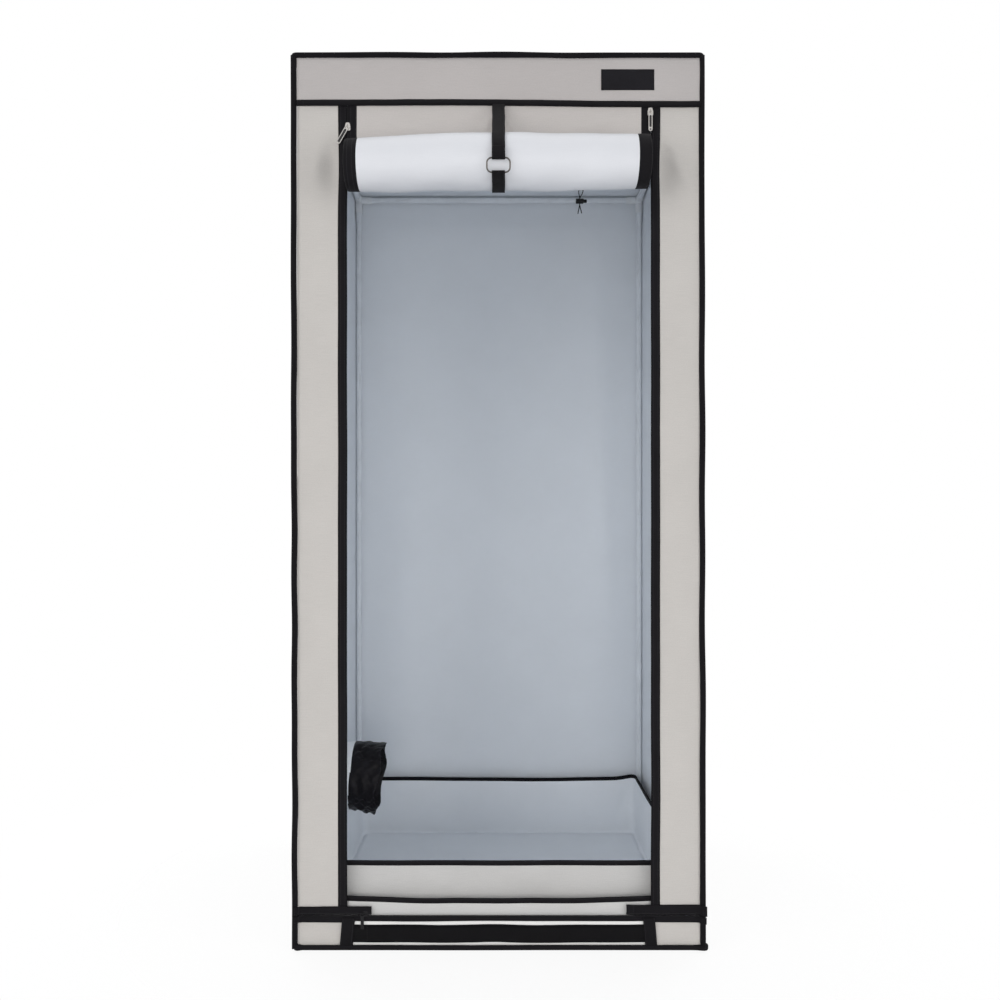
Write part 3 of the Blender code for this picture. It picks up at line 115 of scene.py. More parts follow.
class Nodes:
    """A node tree, with short calls that add and wire nodes."""

    def __init__(self, tree: bpy.types.NodeTree) -> None:
        """Takes over a tree and empties it.

        Args:
            tree: The material's or the world's tree.
        """
        self.tree = tree
        tree.nodes.clear()

    def put(self, socket: Socket, value: object) -> None:
        """Links a socket to another socket, or sets its value.

        Args:
            socket: The input to fill.
            value: Another node's output, or a plain value.
        """
        if isinstance(value, Socket):
            self.tree.links.new(value, socket)
        else:
            socket.default_value = value

    def add(self, kind: str, inputs: dict | None = None, **settings: object) -> bpy.types.Node:
        """Adds a node.

        Args:
            kind: The node's type, without its ShaderNode prefix.
            inputs: Values or links by input name or number.
            settings: The node's own properties.

        Returns:
            The new node.
        """
        node = self.tree.nodes.new("ShaderNode" + kind)
        for key, value in settings.items():
            setattr(node, key, value)
        for key, value in (inputs or {}).items():
            self.put(node.inputs[key], value)
        return node

    def math(self, operation: str, first: object, second: object = 0.0) -> Socket:
        """Adds a Math node for an operation on two values and gives its output."""
        return self.add("Math", {0: first, 1: second}, operation=operation).outputs[0]

    def noise(self, where: object, scale: float, detail: float = 2.0, roughness: float = 0.5) -> Socket:
        """Adds soft noise, about 0.5 on average: scale in patches per metre, detail in octaves."""
        inputs = {"Vector": where, "Scale": scale, "Detail": detail, "Roughness": roughness}
        return self.add("TexNoise", inputs).outputs["Fac"]

    def ramp(self, value: object, low: float, high: float, start: float = 0.0, end: float = 1.0) -> Socket:
        """Maps a value from low..high to start..end, clamped."""
        inputs = {"Value": value, "From Min": low, "From Max": high, "To Min": start, "To Max": end}
        return self.add("MapRange", inputs).outputs[0]

    def tint(self, colour: Colour, factor: object) -> Socket:
        """Scales a colour by a varying factor.

        Args:
            colour: The plain colour.
            factor: The varying factor, about 1.

        Returns:
            The scaled colour.
        """
        grey = self.add("CombineColor", {"Red": factor, "Green": factor, "Blue": factor}).outputs["Color"]
        mix = self.add("Mix", {0: 1.0, MIX_A: (*colour, 1.0), MIX_B: grey}, data_type="RGBA", blend_type="MULTIPLY")
        return mix.outputs[MIX_OUT]

    def blend(self, factor: object, first: object, second: object) -> Socket:
        """Mixes two colours: a factor of 0 gives the first and 1 the second."""
        return self.add("Mix", {0: factor, MIX_A: first, MIX_B: second}, data_type="RGBA").outputs[MIX_OUT]

    def times(self, first: object, second: object) -> Socket:
        """The product of two values."""
        return self.math("MULTIPLY", first, second)

    def swing(self, noise: object, low: float, high: float) -> Socket:
        """Maps noise, which mostly stays from 0.3 to 0.7, to low..high."""
        return self.ramp(noise, 0.3, 0.7, low, high)

    def wave(self, value: object, pitch: float) -> Socket:
        """sin(2 pi value / pitch), from -1 to 1."""
        return self.math("SINE", self.times(value, 2 * math.pi / pitch))

    def scaled(self, where: object, x: float, y: float, z: float = 1.0) -> Socket:
        """The coordinates multiplied by a scale for each axis."""
        return self.add("Mapping", {"Vector": where, "Scale": (x, y, z)}).outputs["Vector"]

    def vector(self, operation: str, first: object, second: object, output: str = "Vector") -> Socket:
        """Adds a Vector Math node with two vectors and gives one of its outputs."""
        return self.add("VectorMath", {0: first, 1: second}, operation=operation).outputs[output]

    def capsule(self, where: object, start: Place, end: Place) -> Socket:
        """Distance in the front's plane from a line segment.

        Args:
            where: The coordinates' output.
            start: The segment's start (x, z).
            end: Its end.

        Returns:
            The distance in metres: |p - a - t (b - a)|, with t = (p - a).(b - a) / |b - a|^2 clamped to 0..1.
        """
        span = (end[0] - start[0], 0.0, end[1] - start[1])
        flat = self.vector("MULTIPLY", where, (1.0, 0.0, 1.0))
        off = self.vector("SUBTRACT", flat, (start[0], 0.0, start[1]))
        share = self.ramp(self.vector("DOT_PRODUCT", off, span, "Value"), 0.0, span[0] ** 2 + span[2] ** 2)
        near = self.add("VectorMath", {0: span, "Scale": share}, operation="SCALE").outputs[0]
        return self.vector("DISTANCE", off, near, "Value")

    def looked_at(self) -> Socket:
        """Finds the rays that come straight from the camera, a mirror or glass.

        Returns:
            1 for such a ray, and 0 for one that gathers light for a matt surface.
        """
        ray = self.add("LightPath").outputs
        mirrored = self.math("MAXIMUM", ray["Is Glossy Ray"], ray["Is Transmission Ray"])
        return self.math("MAXIMUM", ray["Is Camera Ray"], mirrored)


class Shader(Nodes):
    """One material: a Principled surface and the nodes that feed it."""

    def __init__(self, name: str) -> None:
        """Starts a material.

        Args:
            name: The material's name.
        """
        self.material = bpy.data.materials.new(name)
        self.material.use_nodes = True
        super().__init__(self.material.node_tree)
        self.surface = self.add("BsdfPrincipled")
        self.add("OutputMaterial", {"Surface": self.surface.outputs["BSDF"]})

    def uv(self) -> tuple[Socket, Socket, Socket]:
        """The piece's own UV map, in metres.

        Returns:
            The vector, its U and its V.
        """
        vector = self.add("UVMap", uv_map="UVMap").outputs["UV"]
        parts = self.add("SeparateXYZ", {"Vector": vector}).outputs
        return vector, parts["X"], parts["Y"]

    def dress(self, values: dict[str, object], *bumps: tuple[object, float]) -> Material:
        """Fills the surface's own sockets and stacks bumps on it.

        Args:
            values: A value or an output for each socket, by its name.
            bumps: A height's output and its full depth in metres, for each layer.

        Returns:
            The finished material.
        """
        for name, value in values.items():
            self.put(self.surface.inputs[name], value)
        normal = None
        for height, depth in bumps:
            layer = self.add("Bump", {"Height": height, "Distance": depth, "Strength": 1.0})
            if normal is not None:
                self.put(layer.inputs["Normal"], normal)
            normal = layer.outputs["Normal"]
        if normal is not None:
            self.put(self.surface.inputs["Normal"], normal)
        return self.material


@dataclass(frozen=True)
class Cloth:
    """Woven cloth, perhaps coated: a plain weave and small creases in the bump, grain and mottling in the colour."""

    name: str
    colour: Colour
    thread: float = 0.0009
    grain: float = 0.05
    mottle: float = 0.03
    roughness: float = 0.85
    sheen: float = 0.25
    coat: float = 0.0
    weave_depth: float = 0.00004
    crease_depth: float = 0.0012
    crease_scale: float = 7.0
    specular: float = 0.4

    def build(self) -> Material:
        """The weave's height is sin(2 pi u / thread) sin(2 pi v / thread); creases are stretched slow noise.

        Returns:
            The finished material.
        """
        shader = Shader(self.name)
        vector, u, v = shader.uv()
        weave = shader.times(shader.wave(u, self.thread), shader.wave(v, self.thread))
        grain = shader.noise(vector, 420.0, 3.0, 0.7)
        slubs = shader.noise(shader.scaled(vector, 30.0, 900.0), 1.0, 1.0)
        patch = shader.noise(vector, 5.0, 4.0, 0.6)
        crease = shader.noise(shader.scaled(vector, 1.0, 0.45), self.crease_scale, 3.0, 0.45)
        tone = shader.swing(grain, 1 - self.grain, 1 + self.grain)
        tone = shader.times(tone, shader.swing(slubs, 1 - self.grain / 2, 1 + self.grain / 2))
        tone = shader.times(tone, shader.swing(patch, 1 - self.mottle, 1 + self.mottle))
        values = {
            "Base Color": shader.tint(self.colour, tone),
            "Roughness": self.roughness,
            "Sheen Weight": self.sheen,
            "Sheen Roughness": 0.5,
            "Specular IOR Level": self.specular,
            "Coat Weight": self.coat,
            "Coat Roughness": 0.35,
        }
        fine = (grain, self.weave_depth * 2), (weave, self.weave_depth)
        return shader.dress(values, (crease, self.crease_depth), *fine)


@dataclass(frozen=True)
class Tape:
    """Woven tape: ribs across its length (V), fuzz and cloudy tone in the colour, and rows of stitches at set places of
    U.
    """

    name: str
    colour: Colour
    rib: float = 0.0011
    rib_depth: float = 0.00012
    stitch_rows: tuple[float, ...] = ()
    stitch: float = 0.0032
    half_thread: float = 0.0004
    roughness: float = 0.8
    sheen: float = 0.02
    specular: float = 0.12

    def build(self) -> Material:
        """A stitch lies where |u - row| is under half a thread and sin(2 pi v / stitch) is above -0.35.

        Returns:
            The finished material.
        """
        shader = Shader(self.name)
        vector, u, v = shader.uv()
        ribs = shader.wave(v, self.rib)
        fuzz = shader.noise(vector, 700.0, 3.0, 0.7)
        cloud = shader.noise(vector, 18.0, 3.0, 0.6)
        colour = shader.tint(self.colour, shader.times(shader.swing(fuzz, 0.7, 1.35), shader.swing(cloud, 0.85, 1.2)))
        layers = [(fuzz, 0.00006), (ribs, self.rib_depth)]
        if self.stitch_rows:
            rows = None
            for row in self.stitch_rows:
                near = shader.math("COMPARE", u, row)
                near.node.inputs[2].default_value = self.half_thread
                rows = near if rows is None else shader.math("MAXIMUM", rows, near)
            mask = shader.times(shader.math("GREATER_THAN", shader.wave(v, self.stitch), -0.35), rows)
            # The stitches' paler colour is painted sheen, standing for the gloss of the black thread.
            thread = tuple(min(1.0, part * 3.0 + 0.010) for part in self.colour)
            colour = shader.blend(mask, colour, (*thread, 1.0))
            layers.append((mask, 0.0003))
        values = {
            "Base Color": colour,
            "Roughness": self.roughness,
            "Sheen Weight": self.sheen,
            "Sheen Roughness": 0.4,
            "Specular IOR Level": self.specular,
        }
        return shader.dress(values, *layers)


@dataclass(frozen=True)
class Hard:
    """Moulded, plated or coated hard surface on a CAD node: fine grain, slow tone changes and small scuffs."""

    name: str
    colour: Colour
    roughness: float
    metallic: float = 0.0
    coat: float = 0.0
    grain_depth: float = 0.00002
    scuff: float = 0.15
    specular: float = 0.5
    inset: tuple[Place, Place, float] | None = None

    def build(self) -> Material:
        """Scuffs are where stretched noise passes a threshold; an inset is black enamel within a radius of a segment.

        Returns:
            The finished material.
        """
        shader = Shader(self.name)
        where = shader.add("TexCoord").outputs["Object"]
        grain = shader.noise(where, 900.0, 2.0)
        patch = shader.noise(where, 22.0, 4.0, 0.6)
        worn = shader.ramp(shader.noise(shader.scaled(where, 260.0, 60.0, 40.0), 1.0, 5.0, 0.7), 0.6, 0.75)
        scuffs = shader.times(worn, self.scuff)
        tone = shader.math("ADD", shader.swing(patch, 0.94, 1.05), scuffs)
        rough = shader.math("ADD", shader.swing(patch, self.roughness * 0.85, self.roughness * 1.15), scuffs)
        colour, metallic, layers = shader.tint(self.colour, tone), self.metallic, [(grain, self.grain_depth)]
        if self.inset:
            start, end, radius = self.inset
            clear = shader.math("GREATER_THAN", shader.capsule(where, start, end), radius)
            colour = shader.blend(clear, (*BLACK, 1.0), colour)
            metallic = shader.times(clear, self.metallic)
            layers.append((clear, 0.0003))
        values = {
            "Base Color": colour,
            "Roughness": rough,
            "Metallic": metallic,
            "Specular IOR Level": self.specular,
            "Coat Weight": self.coat,
        }
        return shader.dress(values, *layers)


def lengths_along(points: Array) -> Array:
    """Distance along a path of points (n, 3), from 0."""
    steps = np.linalg.norm(np.diff(points, axis=0), axis=1)
    return np.concatenate([[0.0], np.cumsum(steps)])


def flat_map(points: Array, around: bool = False) -> Array:
    """A UV map in metres for a grid: U along its second direction and V along its first, from its middle lines.

    Args:
        points: The grid (rows, columns, 3).
        around: True if the columns close into a loop.

    Returns:
        The map (rows, columns, 2), with one column more for a loop.
    """
    rows, columns = points.shape[:2]
    across = points[rows // 2]
    if around:
        across = np.vstack([across, across[:1]])
    u = lengths_along(across)
    v = lengths_along(points[:, columns // 2])
    return np.stack(np.meshgrid(u, v), axis=2)


def unit(vectors: Array) -> Array:
    """The vectors with length 1."""
    return vectors / np.maximum(np.linalg.norm(vectors, axis=-1, keepdims=True), 1e-12)


def grid_normals(points: Array, around: bool = False) -> Array:
    """Unit normals of a grid: the cross product of its differences along columns and along rows.

    Args:
        points: The grid (rows, columns, 3).
        around: True if the columns close into a loop.

    Returns:
        The normals (rows, columns, 3).
    """
    down = np.gradient(points, axis=0)
    if around:
        across = (np.roll(points, -1, axis=1) - np.roll(points, 1, axis=1)) / 2
    else:
        across = np.gradient(points, axis=1)
    return unit(np.cross(across, down))


def make_piece(
    name: str, vertices: Array, faces: Array, uv: Array, finishes: list[Material], index: Array,
    caps: tuple[Array, ...] = (),
) -> Piece:
    """Makes a smooth mesh object at the origin.

    Args:
        name: The object's name.
        vertices: Points (n, 3).
        faces: Quads (m, 4).
        uv: A coordinate for each corner of each quad (m, 4, 2).
        finishes: The materials.
        index: Each quad's material number.
        caps: More polygons of any size, with the last material.

    Returns:
        The new object.
    """
    mesh = bpy.data.meshes.new(name)
    mesh.from_pydata(vertices.tolist(), [], faces.tolist() + [cap.tolist() for cap in caps])
    layer = mesh.uv_layers.new(name="UVMap")
    filled = np.zeros((len(mesh.loops), 2))
    filled[: uv.size // 2] = uv.reshape(-1, 2)
    layer.data.foreach_set("uv", filled.ravel())
    for finish in finishes:
        mesh.materials.append(finish)
    numbers = np.full(len(mesh.polygons), len(finishes) - 1, dtype=np.int32)
    numbers[: len(index)] = index
    mesh.polygons.foreach_set("material_index", numbers)
    mesh.polygons.foreach_set("use_smooth", np.ones(len(mesh.polygons), dtype=bool))
    mesh.update()
    piece = bpy.data.objects.new(name, mesh)
    bpy.context.scene.collection.objects.link(piece)
    return piece


def grid_quads(rows: int, columns: int, around: bool, start: int, flip: bool) -> tuple[Array, Array]:
    """Quads of a grid whose points are numbered row by row.

    Args:
        rows: Rows of points.
        columns: Columns of points.
        around: True if the columns close into a loop.
        start: The first point's number.
        flip: True turns the faces over.

    Returns:
        The quads, and the matching numbers into the UV map, which has one column more for a loop.
    """
    wide = columns if around else columns - 1
    row, column = np.meshgrid(np.arange(rows - 1), np.arange(wide), indexing="ij")
    stride = columns + 1 if around else columns
    quads, places = (
        np.stack([row * long + column, row * long + right, (row + 1) * long + right, (row + 1) * long + column], 2)
        for long, right in ((columns, (column + 1) % columns), (stride, column + 1))
    )
    quads, places = quads.reshape(-1, 4) + start, places.reshape(-1, 4)
    return (quads[:, ::-1], places[:, ::-1]) if flip else (quads, places)


def sheet_piece(
    name: str, points: Array, thickness: float | Array, finishes: list[Material], front: int | Array = 0,
    back: int | Array = 0, around: bool = False, uv: Array | None = None,
) -> Piece:
    """A closed sheet of cloth: a middle surface moved half its thickness both ways along its normals.

    Args:
        name: The object's name.
        points: The middle surface (rows, columns, 3).
        thickness: Its thickness, one for all or one for each point (rows, columns).
        finishes: The materials; the last one is also the rims'.
        front: Material number of the side the normals point to, one for all or one for each quad.
        back: The same for the other side.
        around: True if the columns close into a loop.
        uv: A UV map to use instead of the flat one.

    Returns:
        The new object.
    """
    rows, columns = points.shape[:2]
    normal = grid_normals(points, around)
    half = np.broadcast_to(np.asarray(thickness, float), (rows, columns))[..., None] / 2
    vertices = np.vstack([(points + normal * half).reshape(-1, 3), (points - normal * half).reshape(-1, 3)])
    uv = flat_map(points, around) if uv is None else uv
    flat = uv.reshape(-1, 2)
    total = rows * columns
    top, top_places = grid_quads(rows, columns, around, 0, False)
    low, low_places = grid_quads(rows, columns, around, total, True)
    numbers = np.arange(total).reshape(rows, columns)
    edges = []
    for line in (numbers[0], numbers[-1][::-1]):
        looped = np.append(line, line[0]) if around else line
        edges.append(np.stack([looped[1:], looped[:-1]], 1))
    if not around:
        edges.append(np.stack([numbers[:-1, 0], numbers[1:, 0]], 1))
        edges.append(np.stack([numbers[1:, -1], numbers[:-1, -1]], 1))
    edge = np.vstack(edges)
    rims = np.column_stack([edge[:, 0], edge[:, 1], edge[:, 1] + total, edge[:, 0] + total])
    stride = columns + 1 if around else columns
    place = edge // columns * stride + edge % columns
    rim_places = np.column_stack([place[:, 0], place[:, 1], place[:, 1], place[:, 0]])
    faces = np.vstack([top, low, rims])
    corners = flat[np.vstack([top_places, low_places, rim_places])]
    sides = [np.broadcast_to(np.ravel(number), len(top)) for number in (front, back)]
    index = np.concatenate([*sides, np.full(len(rims), len(finishes) - 1)])
    return make_piece(name, vertices, faces, corners, finishes, index)


def tube_piece(
    name: str, path: Array, side: Array, up: Array, profile: Array, finish: Material, closed: bool = False,
    swell: Array | float = 1.0,
) -> Piece:
    """A profile carried along a path: point = path + swell (side profile_x + up profile_y).

    Args:
        name: The object's name.
        path: Points (n, 3).
        side: The profile's X direction at each point (n, 3).
        up: The profile's Y direction at each point (n, 3).
        profile: The closed profile (m, 2), anticlockwise seen from the path's end.
        finish: The material.
        closed: True if the path closes into a loop.
        swell: The profile's size at each point.

    Returns:
        The new object.
    """
    size = np.broadcast_to(np.asarray(swell, float), len(path))[:, None, None]
    offset = side[:, None, :] * profile[None, :, :1] + up[:, None, :] * profile[None, :, 1:]
    points = path[:, None, :] + size * offset
    if closed:
        points = np.concatenate([points, points[:1]])
    rows, columns = points.shape[:2]
    ring = np.hstack([profile, np.zeros((len(profile), 1))])
    u = lengths_along(np.vstack([ring, ring[:1]]))
    v = lengths_along(np.vstack([path, path[:1]]) if closed else path)
    uv = np.stack(np.meshgrid(u, v), axis=2).reshape(-1, 2)
    quads, places = grid_quads(rows, columns, True, 0, False)
    corners = uv[places]
    caps: tuple[Array, ...] = ()
    vertices = points.reshape(-1, 3)
    if closed:
        last = rows - 1
        quads = np.where(quads >= last * columns, quads - last * columns, quads)
        vertices = vertices[: last * columns]
    else:
        caps = (np.arange(columns)[::-1], np.arange(columns) + (rows - 1) * columns)
    return make_piece(name, vertices, quads, corners, [finish], np.zeros(len(quads), dtype=int), caps)


def frames_along(path: Array, steady: Point, closed: bool = False) -> tuple[Array, Array]:
    """Directions across a path: side = unit(steady - its part along the path), and up = tangent x side.

    Args:
        path: Points (n, 3).
        steady: A direction never along the path.
        closed: True if the path closes into a loop.

    Returns:
        The side and up directions (n, 3).
    """
    if closed:
        tangent = unit(np.roll(path, -1, axis=0) - np.roll(path, 1, axis=0))
    else:
        tangent = unit(np.gradient(path, axis=0))
    guide = np.broadcast_to(np.array(steady, float), path.shape)
    side = unit(guide - tangent * np.sum(guide * tangent, axis=1, keepdims=True))
    return side, np.cross(tangent, side)


def round_profile(width: float, height: float, count: int, square: float = 1.0) -> Array:
    """A closed superellipse: x = w/2 sgn(c) |c|^s and y = h/2 sgn(k) |k|^s, for c, k = cos, sin of the angle.

    Args:
        width: Its full width.
        height: Its full height.
        count: Points round it.
        square: The power s; 1 gives an ellipse and less is squarer.

    Returns:
        The profile (count, 2).
    """
    angle = np.linspace(0, 2 * np.pi, count, endpoint=False)
    circle = np.column_stack([np.cos(angle), np.sin(angle)])
    return np.array([width / 2, height / 2]) * np.sign(circle) * np.abs(circle) ** square


def smooth_line(points: list[Point] | Array, step: float) -> Array:
    """A Catmull-Rom curve: half of 2 b + (c - a) t + (2 a - 5 b + 4 c - d) t^2 + (3 b - a - 3 c + d) t^3 in each span.

    Args:
        points: The points to pass through.
        step: The spacing aimed at.

    Returns:
        The curve's points (n, 3).
    """
    known = np.array(points, float)
    ends = np.vstack([2 * known[0] - known[1], known, 2 * known[-1] - known[-2]])
    spans = []
    for before, first, second, after in zip(ends[:-3], ends[1:-2], ends[2:-1], ends[3:]):
        count = max(1, round(float(np.linalg.norm(second - first)) / step))
        t = np.linspace(0, 1, count, endpoint=False)[:, None]
        square = 2 * before - 5 * first + 4 * second - after
        cubic = -before + 3 * first - 3 * second + after
        spans.append(0.5 * (2 * first + (second - before) * t + square * t**2 + cubic * t**3))
    return np.vstack([*spans, known[-1:]])


def bell(value: Array, centre: float, width: float) -> Array:
    """exp(-((value - centre) / width)^2): 1 at the centre, fading over the width."""
    return np.exp(-(((value - centre) / width) ** 2))


def soft_step(value: Array, low: float, high: float) -> Array:
    """Rises smoothly from 0 at low to 1 at high: t^2 (3 - 2 t)."""
    t = np.clip((value - low) / (high - low), 0, 1)
    return t * t * (3 - 2 * t)


@dataclass(frozen=True)
class Ripples:
    """Soft unevenness of cloth: a sum of waves, sum of h_k sin(2 pi (f_k . p) + phase_k), from a seed."""

    height: float
    length: float
    seed: int
    stretch: float = 1.0
    count: int = 7
    gain: float = 1.8

    def at(self, u: Array, v: Array) -> Array:
        """The height at places u, v in metres, mostly within plus and minus height.

        Args:
            u: Places across; waves are stretched along v by the stretch.
            v: Places along.

        Returns:
            The heights.
        """
        draw = np.random.default_rng(self.seed)
        turn = draw.uniform(0, np.pi, self.count)
        pace = draw.uniform(0.6, 1.7, self.count) / self.length
        phase = draw.uniform(0, 2 * np.pi, self.count)
        share = draw.uniform(0.5, 1.0, self.count)
        along_u, along_v = np.cos(turn) * pace, np.sin(turn) * pace / self.stretch
        waves = np.sin(2 * np.pi * (u[..., None] * along_u + v[..., None] * along_v) + phase)
        return self.height * (waves * share).sum(-1) / share.sum() * self.gain


def hand_over(piece: Piece, slot: Slot, *nodes: str) -> Piece:
    """Gives a piece its body, hides the CAD nodes it stands for, and reports it.

    Args:
        piece: The finished piece.
        slot: The record's slot; not used.
        nodes: CAD nodes that it replaces.

    Returns:
        The same piece.
    """
    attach(piece, TENT)
    if nodes:
        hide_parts(*nodes)
    LOG.info("%s: %d faces", piece.name, len(piece.data.polygons))
    return piece


@dataclass(frozen=True)
class Braid:
    """Round braided cord: two crossing spirals in the bump, and in the colour as painted shade in the grooves and
    painted highlight on the crests.
    """

    name: str
    colour: Colour
    lay: float = 0.0034
    half_girth: float = 0.0039

    def build(self) -> Material:
        """The strands' height is sin(2 pi (v / lay + u / half girth)) sin(2 pi (v / lay - u / half girth)).

        Returns:
            The finished material.
        """
        shader = Shader(self.name)
        _, u, v = shader.uv()
        lean = shader.times(u, self.lay / self.half_girth)
        forward, back = (shader.wave(shader.math(sign, v, lean), self.lay) for sign in ("ADD", "SUBTRACT"))
        strands = shader.times(forward, back)
        # Painted shade and highlight: the colour darkens where the strands dip and lightens on their crests.
        colour = shader.tint(self.colour, shader.ramp(strands, -1, 1, 0.7, 1.5))
        return shader.dress({"Base Color": colour, "Roughness": 0.7, "Specular IOR Level": 0.3}, (strands, 0.00025))


@dataclass(frozen=True)
class Coil:
    """Nylon zip coil: each tooth's bump along V, and its shine painted into the colour as a highlight on the crest."""

    name: str
    colour: Colour
    pitch: float = 0.0014

    def build(self) -> Material:
        """Teeth follow sin(2 pi v / pitch).

        Returns:
            The finished material.
        """
        shader = Shader(self.name)
        vector, _, v = shader.uv()
        teeth = shader.wave(v, self.pitch)
        worn = shader.swing(shader.noise(vector, 160.0, 3.0), 0.8, 1.25)
        # Painted highlight and shade: the colour brightens on each tooth's crest and darkens between teeth.
        colour = shader.tint(self.colour, shader.times(shader.ramp(teeth, -1, 1, 0.6, 1.6), worn))
        return shader.dress({"Base Color": colour, "Roughness": 0.55, "Specular IOR Level": 0.15}, (teeth, 0.0002))


class Finishes:
    """Every finish of the tent, each built once."""

    def __init__(self) -> None:
        """Builds the materials."""
        self.shell, self.header, self.door_back, self.flap, self.tray_back = (
            Cloth(name, colour, sheen=0.12).build()
            for name, colour in (
                ("beige_cover_cloth", BEIGE),
                ("header_cloth", (0.455, 0.426, 0.418)),
                # The door's back cloth is a copy of the beige cover cloth, lighter than the header's: painted light
                # that offsets the shade in the recess above the roll.
                ("door_cloth", (0.520, 0.488, 0.470)),
                # The light flap's cloth is greyer than the beige, and its colour is also raised as painted light
                # against the shade under the sill.
                ("pale_lit_flap_cloth", (0.555, 0.546, 0.538)),
                ("pale_tray_cloth", (0.525, 0.515, 0.506)),
            )
        )
        coated = {"thread": 0.0013, "grain": 0.012, "mottle": 0.02, "roughness": 0.5, "sheen": 0.05, "coat": 0.12}
        self.lining, self.rolled, self.tray = (
            Cloth(name, colour, crease_depth=depth, crease_scale=scale, **coated).build()
            for name, colour, depth, scale in (
                ("white_wall_lining", (0.815, 0.851, 0.900), 0.0016, 5.0),
                # The door's lining is the walls' white lining; this darker copy is painted shade that tones down the
                # front-lit roll.
                ("shaded_white_door_lining", (0.678, 0.685, 0.720), 0.0010, 9.0),
                ("white_tray_coating", (0.880, 0.912, 0.955), 0.0022, 9.0),
            )
        )
        self.sleeve = Cloth(
            "black_sleeve_cloth", (0.0060, 0.0054, 0.0075), grain=0.3, mottle=0.2, roughness=0.45, sheen=0.02,
            crease_depth=0.004, crease_scale=22.0, specular=0.14,
        ).build()
        self.sill_flap = Cloth(
            "white_sill_flap", (0.760, 0.750, 0.735), crease_depth=0.0008, crease_scale=14.0, roughness=0.55, sheen=0.05
        ).build()
        self.collar = Cloth("white_collar_cloth", (0.80, 0.82, 0.85), roughness=0.6, sheen=0.1).build()
        self.binding, self.hem, self.zip_tape, self.webbing = (
            Tape(name, BLACK, rib, depth, rows).build()
            for name, rib, depth, rows in (
                ("black_binding", 0.0011, 0.00012, (0.0115, 0.0190)),
                ("black_hem", 0.0011, 0.00012, (0.0030, 0.0140)),
                ("black_zip_tape", 0.0016, 0.00005, (0.0050, 0.0140)),
                ("black_webbing", 0.0019, 0.0003, (0.0022, 0.0228)),
            )
        )
        self.patch = Tape("black_patch", (0.0100, 0.0094, 0.0118), 0.0009, 0.00003).build()
        self.hooks = Tape(
            "hook_and_loop", (0.0045, 0.0040, 0.0055), 0.0012, 0.0006, (0.0015, 0.0315), roughness=0.9, specular=0.1
        ).build()
        self.coil = Coil("black_zip_coil", (0.010, 0.0095, 0.011)).build()
        self.cord = Braid("black_drawcord", (0.008, 0.0075, 0.009)).build()
        self.tube, self.plastic, self.pale_plastic, self.black_pull = (
            Hard(name, colour, roughness, coat=coat, grain_depth=grain, scuff=scuff, specular=specular).build()
            for name, colour, roughness, coat, grain, scuff, specular in (
                ("white_coated_tube", (0.790, 0.826, 0.872), 0.55, 0.05, 0.00002, 0.01, 0.5),
                ("black_moulded_plastic", (0.008, 0.008, 0.009), 0.42, 0.0, 0.00006, 0.01, 0.25),
                ("white_moulded_plastic", (0.800, 0.824, 0.852), 0.55, 0.0, 0.00006, 0.02, 0.5),
                ("black_pull_coating", (0.008, 0.0075, 0.009), 0.45, 0.0, 0.00002, 0.01, 0.2),
            )
        )
        loop = ((-0.3077, 1.6412), (-0.3207, 1.6187), 0.0024)
        oval = ((0.3032, 1.6690), (0.3032, 1.6495), 0.0022)
        self.nickel, self.left_pull, self.right_pull, self.ring = (
            Hard(name, colour, roughness, metallic=1.0, scuff=scuff, inset=inset).build()
            for name, colour, roughness, scuff, inset in (
                ("bright_nickel", BRIGHT, 0.24, 0.08, None),
                ("open_nickel_pull", BRIGHT, 0.24, 0.08, loop),
                ("enamelled_nickel_pull", BRIGHT, 0.24, 0.08, oval),
                ("dark_nickel", (0.095, 0.088, 0.082), 0.30, 0.10, None),
            )
        )


